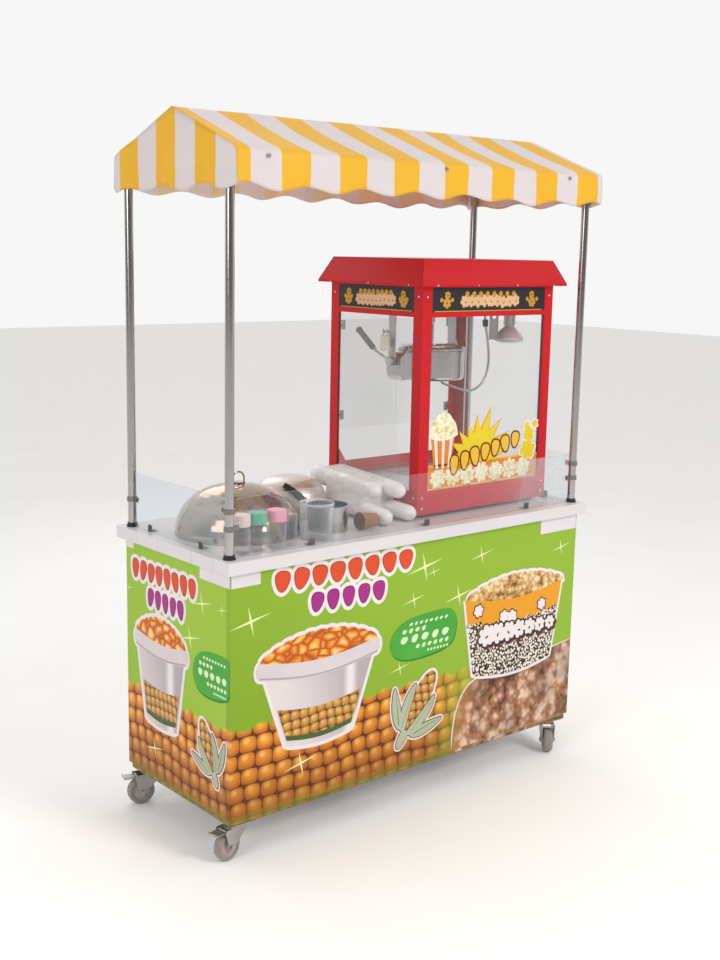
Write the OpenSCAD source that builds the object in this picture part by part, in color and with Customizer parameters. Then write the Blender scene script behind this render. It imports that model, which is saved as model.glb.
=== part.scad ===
// Popcorn cart: a wheeled counter with a striped canopy, a popcorn popper, two steamer pans
// with dome lids, and splash guards. +X is the cart's right as a customer sees it, the customer
// stands at -Y, +Z is up, and the origin is on the floor under the middle of the cart.

/* [Cabinet] */
// Length of the cabinet body
cabinet_l = 1350; // [1300:10:1360]
// Width of the cabinet body, front to back
cabinet_w = 525; // [520:5:530]
// Height of the cabinet's underside above the floor
cabinet_z = 122; // [122:1:130]
// Thickness of the cabinet's boards
board_t = 18; // [16:1:19]
// Height of the worktop's upper face above the floor
worktop_z = 836; // [830:1:845]
// Thickness of the worktop
worktop_t = 34; // [30:1:38]
// Overhang of the worktop past the cabinet on every side
worktop_over = 20; // [15:1:25]

/* [Canopy] */
// Diameter of a canopy post
post_d = 24; // [20:1:24]
// Distance of a post's axis from the cart's middle, along X
post_x = 665; // [663:1:666]
// Distance of a post's axis from the cart's middle, along Y
post_y = 243; // [240:1:245]
// Height of the canopy's eave
eave_z = 1863; // [1860:1:1900]
// Height of the canopy's ridge
ridge_z = 1976; // [1970:1:1990]
// Half of the canopy's width at the eave
eave_y = 294; // [294:1:298]
// Half of the canopy's length
canopy_x = 680; // [680:1:684]
// Height of the straight part of the valance
valance_h = 104; // [90:1:110]

/* [Popper] */
// Width of the popper's body
popper_w = 560; // [560:1:562]
// Depth of the popper's body
popper_d = 420; // [420:1:422]
// Middle of the popper along X
popper_x = 340; // [335:1:340]
// Front face of the popper along Y
popper_y = -166; // [-168:1:-160]
// Diameter of the kettle
kettle_d = 208; // [190:1:210]

/* [Lids] */
// Diameter of the large dome lid
dome_l_d = 356; // [340:1:356]
// Height of the large dome lid
dome_l_h = 140; // [120:1:150]
// Diameter of the small dome lid
dome_r_d = 236; // [220:1:236]
// Height of the small dome lid
dome_r_h = 116; // [100:1:125]

/* [Castors] */
// Diameter of a castor wheel
wheel_d = 80; // [76:1:80]
// Trail of a castor wheel behind its kingpin
trail = 32; // [28:1:34]

/* [Hidden] */
$fn = 48;

// shared small sizes
gap = 0.5;            // clearance between parts that only pass each other
run = 0.05;           // radial clearance of a pin that turns in a hole
sheet = 2;            // sheet metal
hx = cabinet_l / 2;
hy = cabinet_w / 2;
cabinet_top = worktop_z - worktop_t;
inner_x = hx - board_t;
inner_y = hy - board_t;

// base frame and castors
frame_h = 16;
frame_z = cabinet_z - frame_h;
frame_w = 40;
frame_in = 7;
castor_x = hx - 48;
castor_y = hy - 44.5;
wheel_r = wheel_d / 2;
wheel_w = 28;
axle_r = 4;
leg_in = 18.5;
leg_t = 3;
plate_t = 3;
yoke_z = 90;
pedal_x = 46;
pedal_z = 86;
pedal_pin_r = 2.5;
// each castor stands at a corner and is turned its own way
castor_lf = [-castor_x, -castor_y, 190];
castor_lb = [-castor_x, castor_y, 165];
castor_rf = [castor_x, -castor_y, 230];
castor_rb = [castor_x, castor_y, 20];
CASTORS = [castor_lf, castor_lb, castor_rf, castor_rb];

// rear doors of the cabinet
stile_w = 40;
door_x = inner_x - stile_w;
door_z0 = cabinet_z + 32;
door_z1 = cabinet_top - 42;
hinge_h = 60;
hinge_r = 4;
hinge_pin_r = 1.6;
cabinet_hinge_y = hy + 4.5;
cabinet_hinge_x = door_x + 1;
CABINET_HINGE_Z = [door_z0 + 60, door_z1 - 60 - hinge_h];

// steamer pans, domes
dome_l_pos = [-464, 8];
dome_r_pos = [-190, 133];
pan_l_r = 162;
pan_r_r = 101;
pan_depth = 150;
pan_t = 1.5;
pan_rim = 12;
// the two ends of the small dome's strap handle, from the middle of its lid's foot
STRAP = [[-70, -66, 105], [-27, -119, 59]];
strap_out = [-0.395, -0.754, 0.525];

// canopy
post_top = 1840;
rail_z = post_top + 10;
rail_r = 10;
rafter_r = 8;
weld = 0.2;
stub_r = 10.4;
post_bore = 10.5;
cover_t = 2.5;
rail_y = eave_y - 14;
ridge_tube_z = ridge_z - 16;
CANOPY_SCREW_X = [-585, 16, 527];
SCREW_H = 3;

// splash guards
guard_t = 4;
guard_h = 156;
guard_z = worktop_z + 1;
guard_gap = 6;        // from a post to the end of a sheet

// popper
px0 = popper_x - popper_w / 2;
px1 = popper_x + popper_w / 2;
py0 = popper_y;
py1 = popper_y + popper_d;
foot_h = 12;
base_z = worktop_z + foot_h;
base_h = 70;
deck_z = base_z + base_h;
window_top = worktop_z + 598;
rail_h = 14;
body_top = worktop_z + 688;
roof_top = worktop_z + 766;
roof_over = 30;
corner_w = 38;
ceiling_z = window_top + 21;
glass_t = 4;
door_gap_z = 1056;
pop_hinge_y = py1 + 3.6;
pop_hinge_r = 3;
pop_hinge_pin_r = 1.2;
pop_hinge_x0 = px0 + corner_w + 1;
pop_hinge_x1 = px1 - corner_w - 1;
pop_hinge_h = 30;
POP_HINGE_Z = [door_gap_z + 30, window_top - 60];
drawer_w = 300;
drawer_l = 300;
drawer_h = 44;

SWITCH_X = [popper_x + 70, popper_x + 110, popper_x + 150];
switch_z = 1490;

// kettle
kx = 295;
ky = 40;
kz = 1290;
kettle_r = kettle_d / 2;
kettle_z0 = 1228;
kettle_z1 = 1320;
kettle_wall = 2;
trunnion_r = 6;
arm_l_x = 128;        // middle of the left arm, past the pot's trunnion housing
arm_r_x = 419;
arm_t = 4;
lid_z = 1321;
lid_axis_z = lid_z + 11;
lid_pin_r = 3;
shaft_r = 5;
stir_top = 1402;
// heat lamp
lamp_pos = [550, -50];
// conduit route, round points from the kettle's underside to the ceiling plate
CONDUIT = [[340, 40, 1228], [340, 40, 1219], [350, 40, 1210], [374, 40, 1202], [400, 40, 1194],
    [425, 40, 1187], [450, 40, 1181], [475, 40, 1180], [500, 40, 1186], [522, 40, 1199],
    [538, 40, 1218], [548, 40, 1242], [553, 40, 1270], [552, 40, 1300], [547, 40, 1330],
    [541, 40, 1360], [534, 40, 1390], [530, 40, 1416], [530, 40, 1443]];
CONDUIT_R = 4;
CONDUIT_SIDES = 10;

// ---- shared shapes ----

// a box given by its lowest and highest corners
module block(lo, hi) { translate(lo) cube(hi - lo); }

// the same shape on both sides of a plane
module both(v) { children(); mirror(v) children(); }

// a round bar from p to q
module bar(p, q, r) {
    d = q - p;
    len = norm(d);
    translate(p) rotate([0, acos(d.z / len), atan2(d.y, d.x)]) cylinder(r = r, h = len);
}

// a hex-head screw head with a washer, axis along +Z
module screw_head(r = 5, h = 3) {
    cylinder(r = r, h = h * 0.4);
    cylinder(r = r * 0.75, h = h);
}

// fixed half of a hinge whose leaf lies to -X of the pin; y_face is the face it is screwed to
module hinge_fixed(h, r, pin_r, y_face, y_pin, leaf_w) {
    difference() {
        union() {
            block([-leaf_w, y_face, 0], [-r - 1.5, y_pin - 0.5, h]);
            for (z = [0, h * 2 / 3 + 0.25]) {
                block([-leaf_w, y_face, z], [0, y_pin - 0.5, z + h / 3 - 0.25]);
                translate([0, y_pin, z]) cylinder(r = r, h = h / 3 - 0.25);
            }
        }
        translate([0, y_pin, -1]) cylinder(r = pin_r, h = h + 2);
    }
    translate([0, y_pin, 0]) cylinder(r = pin_r, h = h);
}

// moving half of the same hinge, with its leaf to +X
module hinge_moving(h, r, pin_r, y_face, y_pin, leaf_w) {
    difference() {
        union() {
            block([r + 1.5, y_face, 0], [leaf_w, y_pin - 0.5, h]);
            block([0, y_face, h / 3 + 0.25], [leaf_w, y_pin - 0.5, h * 2 / 3 - 0.25]);
            translate([0, y_pin, h / 3 + 0.25]) cylinder(r = r, h = h / 3 - 0.5);
        }
        translate([0, y_pin, -1]) cylinder(r = pin_r + run, h = h + 2);
    }
}

// ---- cabinet ----

module base_frame() {
    color("gray") difference() {
        block([-hx + frame_in, -hy + frame_in, frame_z], [hx - frame_in, hy - frame_in, cabinet_z]);
        for (i = [-1, 0, 1])
            translate([i * 430, 0, frame_z - 1])
                linear_extrude(frame_h + 2) square([390, cabinet_w - 2 * (frame_in + frame_w)], center = true);
    }
}

module cabinet_boards() {
    color("whitesmoke") {
        block([-inner_x, -inner_y, cabinet_z], [inner_x, hy - board_t, cabinet_z + board_t]);
        block([-inner_x, -inner_y, 440], [inner_x, 150, 440 + board_t]);
    }
}

module front_panel() {
    color("yellowgreen") block([-hx, -hy, cabinet_z], [hx, -inner_y, cabinet_top]);
}

module end_panel() { block([-hx, -inner_y, cabinet_z], [-inner_x, hy, cabinet_top]); }
module left_end_panel() { color("yellowgreen") end_panel(); }
module right_end_panel() { color("yellowgreen") mirror([1, 0, 0]) end_panel(); }

module rear_frame() {
    color("whitesmoke") difference() {
        block([-inner_x, inner_y, cabinet_z], [inner_x, hy, cabinet_top]);
        block([-door_x, inner_y - 1, door_z0 - 2], [door_x, hy + 1, door_z1 + 2]);
    }
}

// left door; the right one is its mirror image
module cabinet_door() {
    difference() {
        block([-door_x + 2, inner_y, door_z0], [-1.5, hy, door_z1]);
        // finger hole
        translate([-60, hy + 1, (door_z0 + door_z1) / 2]) rotate([90, 0, 0]) linear_extrude(board_t + 2) {
            square([30, 60], center = true);
            translate([0, 30]) circle(r = 15);
            translate([0, -30]) circle(r = 15);
        }
    }
    for (z = CABINET_HINGE_Z)
        translate([-cabinet_hinge_x, 0, z])
            hinge_moving(hinge_h, hinge_r, hinge_pin_r, hy, cabinet_hinge_y, 30);
}
module cabinet_door_left() { color("white") cabinet_door(); }
module cabinet_door_right() { color("white") mirror([1, 0, 0]) cabinet_door(); }

module cabinet_door_hinges() {
    color("silver") both([1, 0, 0]) for (z = CABINET_HINGE_Z)
        translate([-cabinet_hinge_x, 0, z])
            hinge_fixed(hinge_h, hinge_r, hinge_pin_r, hy, cabinet_hinge_y, 30);
}

module worktop() {
    x = hx + worktop_over;
    y = hy + worktop_over;
    color("gainsboro") difference() {
        block([-x, -y, cabinet_top], [x, y, worktop_z]);
        translate([dome_l_pos.x, dome_l_pos.y, cabinet_top - 1]) cylinder(r = pan_l_r + 2, h = worktop_t + 2);
        translate([dome_r_pos.x, dome_r_pos.y, cabinet_top - 1]) cylinder(r = pan_r_r + 2, h = worktop_t + 2);
    }
}

// ---- canopy ----

module at_posts() {
    for (sx = [-1, 1], sy = [-1, 1]) translate([sx * post_x, sy * post_y, 0]) children();
}

module post_sockets() {
    color("dimgray") at_posts() translate([0, 0, worktop_z]) difference() {
        union() {
            cylinder(r = post_d / 2 + 5, h = 4);
            cylinder(r = post_d / 2 + 2.5, h = 12);
        }
        translate([0, 0, -1]) cylinder(r = post_d / 2 + 0.05, h = 14);
    }
}

module canopy_posts() {
    color("silver") at_posts() difference() {
        translate([0, 0, worktop_z]) cylinder(r = post_d / 2, h = post_top - worktop_z);
        translate([0, 0, worktop_z - 1]) cylinder(r = post_bore, h = post_top - worktop_z + 2);
    }
}

// tube frame that plugs into the posts; each tube stops a hair short of the next at its weld
module canopy_frame() {
    reach = rail_r + weld;
    end_x = post_x - rail_r - rafter_r - weld;
    drop = [0, -rail_y, rail_z] - [0, 0, ridge_tube_z];
    step = drop / norm(drop) * reach;
    color("silver") {
        both([0, 1, 0]) bar([-post_x - rail_r, -rail_y, rail_z], [post_x + rail_r, -rail_y, rail_z], rail_r);
        both([1, 0, 0]) bar([-post_x, reach - rail_y, rail_z], [-post_x, rail_y - reach, rail_z], rail_r);
        bar([-post_x - rail_r, 0, ridge_tube_z], [post_x + rail_r, 0, ridge_tube_z], rail_r);
        for (x = [-end_x, 0, end_x]) both([0, 1, 0])
            bar([x, 0, ridge_tube_z] + step, [x, -rail_y, rail_z] - step, rafter_r);
        at_posts() translate([0, 0, post_top - 60]) cylinder(r = stub_r, h = 60 - weld);
    }
}

// gable outline of the cover, drawn in (Y, Z) and shrunk by t
module gable(t) {
    rise = (ridge_z - eave_z) / eave_y;
    slope_t = t * sqrt(1 + rise * rise);
    y = eave_y - t;
    polygon([[-y, eave_z - valance_h], [-y, eave_z - slope_t + rise * t], [0, ridge_z - slope_t],
        [y, eave_z - slope_t + rise * t], [y, eave_z - valance_h]]);
}

module canopy_cover() {
    color("gold") rotate([90, 0, 90]) difference() {
        translate([0, 0, -canopy_x]) linear_extrude(2 * canopy_x) gable(0);
        translate([0, 0, -canopy_x + cover_t]) linear_extrude(2 * (canopy_x - cover_t)) {
            gable(cover_t);
            translate([0, eave_z - valance_h]) square([2 * (eave_y - cover_t), 2], center = true);
        }
    }
}

module canopy_screws() {
    color("silver") both([0, 1, 0]) for (x = CANOPY_SCREW_X)
        translate([x, -eave_y, 1846]) rotate([90, 0, 0]) screw_head(6, SCREW_H);
}

// ---- splash guards ----

// an upright sheet with rounded upper corners, drawn along X with its middle at the origin
module guard_sheet(len) {
    r = 12;
    rotate([90, 0, 0]) translate([0, 0, -guard_t / 2]) linear_extrude(guard_t) {
        translate([-len / 2, 0]) square([len, guard_h - r]);
        translate([-len / 2 + r, 0]) square([len - 2 * r, guard_h]);
        for (s = [-1, 1]) translate([s * (len / 2 - r), guard_h - r]) circle(r = r);
    }
}

module splash_guards() {
    color([0.8, 0.9, 0.95, 0.4]) {
        translate([0, -post_y, guard_z]) guard_sheet(2 * (post_x - post_d / 2 - guard_gap));
        both([1, 0, 0]) translate([-post_x, 0, guard_z]) rotate(90)
            guard_sheet(2 * (post_y - post_d / 2 - guard_gap));
    }
}

// an angle clip that stands on the worktop behind a sheet; the sheet is at -Y
module clip() {
    translate([0, guard_t / 2, worktop_z]) {
        block([-10, 0, 0], [10, 22, 2]);
        block([-10, 0, 0], [10, 2, 20]);
        translate([0, 13, 2]) screw_head(5, 4);
        translate([0, 2, 12]) rotate([-90, 0, 0]) screw_head(4, 4);
    }
}

// a ring on a post with two lugs that hold the end of a sheet lying to +X
module post_clamp() {
    h = 14;
    reach = post_d / 2 + 16;
    difference() {
        union() {
            cylinder(r = post_d / 2 + 3, h = h);
            block([post_d / 2, -guard_t / 2 - 2, 0], [reach, guard_t / 2 + 2, h]);
        }
        translate([0, 0, -1]) cylinder(r = post_d / 2 + 0.05, h = h + 2);
        block([post_d / 2 + 1, -guard_t / 2 - 0.1, -1], [reach + 1, guard_t / 2 + 0.1, h + 1]);
    }
    translate([reach - 6, guard_t / 2 + 2, h / 2]) rotate([-90, 0, 0]) screw_head(4, 4);
}

module guard_clips() {
    color("silver") {
        for (x = [-394, 31, 456]) translate([x, -post_y, 0]) clip();
        for (y = [-106, 152]) translate([-post_x, y, 0]) rotate(-90) clip();
        for (y = [-135, 135]) translate([post_x, y, 0]) rotate(90) clip();
        both([1, 0, 0]) {
            translate([-post_x, -post_y, 909]) post_clamp();
            translate([-post_x, -post_y, 955]) rotate(90) post_clamp();
            translate([-post_x, post_y, 909]) rotate(-90) post_clamp();
        }
    }
}

// ---- castors ----

module at_castor(c) { translate([c.x, c.y, 0]) rotate(c[2]) children(); }

module castor_plates() {
    s = 80;
    color("silver") for (c = CASTORS) translate([c.x, c.y, 0]) {
        difference() {
            block([-s / 2, -s / 2, frame_z - plate_t], [s / 2, s / 2, frame_z]);
            for (x = [-30, 30], y = [-30, 30])
                translate([x, y, frame_z - plate_t - 1]) cylinder(r = 4.2, h = plate_t + 2);
        }
        for (x = [-30, 30], y = [-30, 30]) translate([x, y, frame_z - plate_t - 4]) {
            cylinder(r = 6, h = 4, $fn = 6);
            cylinder(r = 4, h = plate_t + 4);
        }
        // kingpin with a riveted head
        translate([0, 0, yoke_z - 4]) cylinder(r = 6, h = frame_z - plate_t - yoke_z + 4.1);
        translate([0, 0, yoke_z - 5]) cylinder(r = 9, h = 3);
    }
}

// side plate of a fork, in its own (X, Z) plane
module fork_leg() {
    rotate([90, 0, 0]) linear_extrude(leg_t) difference() {
        union() {
            translate([trail, wheel_r]) circle(r = 11);
            polygon([[-24, yoke_z + 3], [-24, yoke_z - 8], [trail - 11, wheel_r], [trail + 11, wheel_r],
                [pedal_x + 7, pedal_z - 6], [pedal_x + 7, yoke_z + 3]]);
        }
        translate([trail, wheel_r]) circle(r = axle_r + run);
    }
}

module castor_fork(c) {
    color("lightgray") at_castor(c) {
        difference() {
            union() {
                translate([0, -leg_in, 0]) fork_leg();
                translate([0, leg_in + leg_t, 0]) fork_leg();
                difference() {
                    block([-24, -leg_in - leg_t, yoke_z], [30, leg_in + leg_t, yoke_z + 3]);
                    translate([0, 0, yoke_z - 1]) cylinder(r = 6 + run, h = 5);
                }
                // bearing race
                translate([0, 0, yoke_z + 3]) difference() {
                    cylinder(r = 22, h = 8);
                    translate([0, 0, -1]) cylinder(r = 6 + run, h = 10);
                }
                // pedal pin across the legs
                translate([pedal_x, -leg_in - leg_t, pedal_z]) rotate([-90, 0, 0])
                    cylinder(r = pedal_pin_r, h = 2 * (leg_in + leg_t));
            }
        }
        // axle bolt: a separate piece in the fork's holes
        translate([trail, 0, wheel_r]) rotate([90, 0, 0]) {
            translate([0, 0, -leg_in - leg_t - 4]) cylinder(r = axle_r, h = 2 * (leg_in + leg_t + 4));
            translate([0, 0, leg_in + leg_t + 0.1]) cylinder(r = 7, h = 4, $fn = 6);
            translate([0, 0, -leg_in - leg_t - 4.1]) cylinder(r = 7, h = 4, $fn = 6);
        }
    }
}
module castor_fork_lf() { castor_fork(castor_lf); }
module castor_fork_lb() { castor_fork(castor_lb); }
module castor_fork_rf() { castor_fork(castor_rf); }
module castor_fork_rb() { castor_fork(castor_rb); }

module castor_wheel(c) {
    w = wheel_w / 2;
    hub = leg_in - 0.5;
    color("gray") at_castor(c) translate([trail, 0, wheel_r]) rotate([90, 0, 0]) rotate_extrude($fn = 72)
        polygon([[axle_r + run, -hub], [12, -hub], [13, -w + 5], [26, -w + 5], [29, -w], [wheel_r - 5, -w],
            [wheel_r - 1.5, -w + 3], [wheel_r, -w + 8], [wheel_r, w - 8], [wheel_r - 1.5, w - 3],
            [wheel_r - 5, w], [29, w], [26, w - 5], [13, w - 5], [12, hub], [axle_r + run, hub]]);
}
module castor_wheel_lf() { castor_wheel(castor_lf); }
module castor_wheel_lb() { castor_wheel(castor_lb); }
module castor_wheel_rf() { castor_wheel(castor_rf); }
module castor_wheel_rb() { castor_wheel(castor_rb); }

// brake pedal on its own pin, pointing away from the kingpin
module brake_pedal(c) {
    w = leg_in - 1;
    color("silver") at_castor(c) difference() {
        union() {
            translate([pedal_x, -w, pedal_z]) rotate([-90, 0, 0]) cylinder(r = 4.5, h = 2 * w);
            block([pedal_x, -w, pedal_z - 1.5], [pedal_x + 38, w, pedal_z + 1.5]);
            block([pedal_x + 36, -w, pedal_z - 1.5], [pedal_x + 39, w, pedal_z + 5]);
            for (x = [12, 20, 28]) block([pedal_x + x, -w + 4, pedal_z], [pedal_x + x + 2.5, w - 4, pedal_z + 2.5]);
        }
        translate([pedal_x, -w - 1, pedal_z]) rotate([-90, 0, 0]) cylinder(r = pedal_pin_r + run, h = 2 * w + 2);
    }
}
module brake_pedal_lf() { brake_pedal(castor_lf); }
module brake_pedal_lb() { brake_pedal(castor_lb); }

// ---- popper body ----

module at_popper_corners(inset) {
    for (x = [px0 + inset, px1 - inset], y = [py0 + inset, py1 - inset]) translate([x, y, 0]) children();
}

module popper_feet() {
    color("black") at_popper_corners(40) translate([0, 0, worktop_z]) cylinder(r1 = 14, r2 = 17, h = foot_h);
}

module popper_base() {
    dx0 = popper_x - drawer_w / 2 - 2;
    dx1 = popper_x + drawer_w / 2 + 2;
    color("crimson") difference() {
        block([px0, py0, base_z], [px1, py1, deck_z]);
        block([px0 + sheet, py0 + sheet, base_z + sheet], [px1 - sheet, py1 - sheet, deck_z + 1]);
        block([dx0, py1 - 5, base_z + 4], [dx1, py1 + 5, base_z + 8 + drawer_h]);
    }
    // runners under the drawer
    for (s = [-1, 1]) block([popper_x + s * 120 - 8, py1 - drawer_l, base_z + 1],
        [popper_x + s * 120 + 8, py1 - sheet, base_z + 5 - run]);
    // cord gland beside the drawer
    color("crimson") translate([px1 - 60, py1, base_z + 30]) rotate([-90, 0, 0]) {
        cylinder(r = 11, h = 6, $fn = 6);
        cylinder(r = 8, h = 14);
    }
}

// stainless tray with slots over the drawer
module popper_deck() {
    x0 = px0 + sheet;
    x1 = px1 - sheet;
    y0 = py0 + sheet;
    y1 = py1 - sheet;
    color("silver") difference() {
        block([x0, y0, deck_z - 10], [x1, y1, deck_z + 1.5]);
        block([x0 + 1.5, y0 + 1.5, deck_z - 11], [x1 - 1.5, y1 - 1.5, deck_z]);
        for (i = [-7:7]) translate([popper_x + i * 16, 110, deck_z]) linear_extrude(10, center = true) {
            square([5, 90], center = true);
            translate([0, 45]) circle(r = 2.5);
            translate([0, -45]) circle(r = 2.5);
        }
    }
}

module kernel_drawer() {
    x0 = popper_x - drawer_w / 2;
    x1 = popper_x + drawer_w / 2;
    z0 = base_z + 5;
    y0 = py1 - drawer_l;
    color("silver") difference() {
        union() {
            block([x0, y0, z0], [x1, py1 + 2, z0 + drawer_h - 2]);
            block([x0 - 8, py1 + 1, z0 - 4], [x1 + 8, py1 + 4, z0 + drawer_h + 8]);
            block([popper_x - 40, py1 + 3, z0 + drawer_h + 5], [popper_x + 40, py1 + 22, z0 + drawer_h + 8]);
            block([popper_x - 40, py1 + 20, z0 + drawer_h - 4], [popper_x + 40, py1 + 22, z0 + drawer_h + 8]);
        }
        block([x0 + 1.5, y0 + 1.5, z0 + 1.5], [x1 - 1.5, py1 + 0.5, z0 + drawer_h]);
    }
}

// an upright folded angle at each corner
module corner_angle() {
    z = body_top - deck_z;
    block([0, 0, 0], [corner_w, sheet, z]);
    block([0, 0, 0], [sheet, corner_w, z]);
}

module popper_corner_posts() {
    color("crimson") {
        translate([px0, py0, deck_z]) corner_angle();
        translate([px1, py0, deck_z]) mirror([1, 0, 0]) corner_angle();
        translate([px0, py1, deck_z]) mirror([0, 1, 0]) corner_angle();
        translate([px1, py1, deck_z]) mirror([1, 0, 0]) mirror([0, 1, 0]) corner_angle();
    }
}

// ring of rails under the roof, with the ceiling plate and the backing of the signs
module popper_header() {
    m = corner_w + 0.2;
    color("crimson") difference() {
        union() {
            // front and back: lower rail, backing, upper lip
            for (side = [0, 1]) translate([0, side * (py0 + py1), 0]) mirror([0, side, 0]) {
                block([px0 + m, py0, window_top], [px1 - m, py0 + 14, window_top + rail_h]);
                block([px0 + m, py0 + 5, window_top], [px1 - m, py0 + 8, body_top]);
                block([px0 + m, py0, body_top - 4], [px1 - m, py0 + 8, body_top]);
            }
            // left and right
            for (side = [0, 1]) translate([side * (px0 + px1), 0, 0]) mirror([side, 0, 0]) {
                block([px0, py0 + m, window_top], [px0 + 14, py1 - m, window_top + rail_h]);
                block([px0 + 5, py0 + m, window_top], [px0 + 8, py1 - m, body_top]);
                block([px0, py0 + m, body_top - 4], [px0 + 8, py1 - m, body_top]);
            }
            // ceiling plate
            block([px0 + 5.5, py0 + 5.5, ceiling_z], [px1 - 5.5, py1 - 5.5, ceiling_z + 3]);
        }
        // openings for the rocker switches in the rear
        for (i = [0:2]) switch_cut(i);
    }
}

module switch_cut(i) {
    block([SWITCH_X[i] - 11, py1 - 10, switch_z - 15], [SWITCH_X[i] + 11, py1 + 1, switch_z + 15]);
}

module sign_panels() {
    m = corner_w + 1;
    z0 = window_top + rail_h + 0.2;
    z1 = body_top - 4.2;
    color("black") difference() {
        union() {
            block([px0 + m, py0 + 1, z0], [px1 - m, py0 + 5, z1]);
            block([px0 + m, py1 - 5, z0], [px1 - m, py1 - 1, z1]);
            block([px0 + 1, py0 + m, z0], [px0 + 5, py1 - m, z1]);
            block([px1 - 5, py0 + m, z0], [px1 - 1, py1 - m, z1]);
        }
        for (i = [0:2]) switch_cut(i);
    }
}

// low hipped roof of folded sheet, open below
module roof_solid(t) {
    top_in = 3 + t;
    hull() {
        block([px0 - roof_over + t, py0 - roof_over + t, body_top - (t > 0 ? 1 : 0)],
            [px1 + roof_over - t, py1 + roof_over - t, body_top + 7]);
        block([px0 + top_in, py0 + top_in, roof_top - 1 - t], [px1 - top_in, py1 - top_in, roof_top - t]);
    }
}
module popper_roof() {
    m = roof_over;
    color("crimson") {
        difference() {
            roof_solid(0);
            roof_solid(sheet);
        }
        // soffit that rests on the posts and rails
        difference() {
            block([px0 - m + 1, py0 - m + 1, body_top], [px1 + m - 1, py1 + m - 1, body_top + sheet]);
            block([px0 + 12, py0 + 12, body_top - 1], [px1 - 12, py1 - 12, body_top + 5]);
        }
    }
}

module popper_windows() {
    z0 = deck_z + 2;
    m = 3;
    color([0.8, 0.9, 0.95, 0.3]) {
        block([px0 + 8, py0 + sheet + 0.2, z0], [px1 - 8, py0 + sheet + glass_t, window_top - 0.5]);
        for (side = [0, 1]) translate([side * (px0 + px1), 0, 0]) mirror([side, 0, 0])
            block([px0 + sheet + 0.2, py0 + 8, z0], [px0 + sheet + glass_t, py1 - 8, window_top - 0.5]);
    }
}

// slanted cheeks and a lip that keep the popcorn in at the back
module popper_chute() {
    z = deck_z + 2;
    x0 = px0 + sheet + glass_t + 1;
    x1 = px1 - sheet - glass_t - 1;
    color("crimson") {
        for (x = [x0, x1 - 2]) translate([x, 0, 0]) rotate([90, 0, 90]) linear_extrude(2)
            polygon([[py1 - 10, z], [140, z], [212, z + 80], [py1 - 10, z + 80]]);
        block([x0, py1 - 10, z], [x1, py1 - 8, z + 34]);
    }
}

// left rear door; the right one is its mirror image in the popper's middle
module popper_door() {
    block([pop_hinge_x0 + 1.5, py1 - 5, door_gap_z], [popper_x - 1, py1 - 1, window_top - 2]);
    for (z = POP_HINGE_Z) translate([pop_hinge_x0, 0, z])
        hinge_moving(pop_hinge_h, pop_hinge_r, pop_hinge_pin_r, py1 - 1, pop_hinge_y, 18);
    // pull knob
    translate([popper_x - 24, py1 - 1, 1240]) rotate([-90, 0, 0]) {
        cylinder(r = 4, h = 10);
        translate([0, 0, 10]) cylinder(r = 9, h = 6);
    }
}
module popper_door_left() { color([0.8, 0.9, 0.95, 0.3]) popper_door(); }
module popper_door_right() {
    color([0.8, 0.9, 0.95, 0.3]) translate([2 * popper_x, 0, 0]) mirror([1, 0, 0]) popper_door();
}

module popper_door_hinges() {
    color("silver") for (side = [0, 1]) translate([side * 2 * popper_x, 0, 0]) mirror([side, 0, 0])
        for (z = POP_HINGE_Z) translate([pop_hinge_x0, 0, z])
            hinge_fixed(pop_hinge_h, pop_hinge_r, pop_hinge_pin_r, py1, pop_hinge_y, 18);
}

// a rocker that tips about a horizontal pin behind the rear sign
module rocker_switch(i) {
    color("black") translate([SWITCH_X[i], py1, switch_z]) rotate([8, 0, 0]) {
        block([-10, -4, -13], [10, 3, 13]);
        rotate([0, 90, 0]) cylinder(r = 5, h = 20, center = true);
    }
}
module rocker_switch_a() { rocker_switch(0); }
module rocker_switch_b() { rocker_switch(1); }
module rocker_switch_c() { rocker_switch(2); }

// ---- kettle ----

// gearbox of the stirrer's drive under the ceiling, with its coupling a little above the stirrer
module stir_motor() {
    color("silver") {
        block([kx - 30, ky - 30, 1422], [kx + 30, ky + 30, ceiling_z]);
        translate([kx, ky, stir_top + 2]) cylinder(r = 8, h = 1423 - stir_top - 2);
    }
}

// two arms that carry the kettle's trunnions, the right one cranked back over its upper half
module kettle_hanger() {
    color("silver") {
        hanger_arm(arm_l_x, -22, [[-15, kz], [15, kz], [15, ceiling_z], [-15, ceiling_z]]);
        hanger_arm(arm_r_x, 22, [[-15, kz], [12, kz - 9], [56, 1338], [56, ceiling_z], [20, ceiling_z],
            [20, 1352], [-15, kz + 8]]);
    }
}

// an arm outlined in (y, z) about the trunnion, with a foot that reaches to foot_x under the ceiling
module hanger_arm(x, foot_x, outline) {
    ys = [for (p = outline) if (p.y == ceiling_z) p.x];
    difference() {
        union() {
            translate([x - arm_t / 2, ky, 0]) rotate([90, 0, 90]) linear_extrude(arm_t) polygon(outline);
            translate([x, ky, kz]) rotate([0, 90, 0]) cylinder(r = 15, h = arm_t, center = true);
            block([x + min(0, foot_x), ky + min(ys), ceiling_z - 3], [x + max(0, foot_x), ky + max(ys), ceiling_z]);
        }
        translate([x, ky, kz]) rotate([0, 90, 0])
            cylinder(r = trunnion_r + run, h = arm_t + 2, center = true);
    }
}

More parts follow.
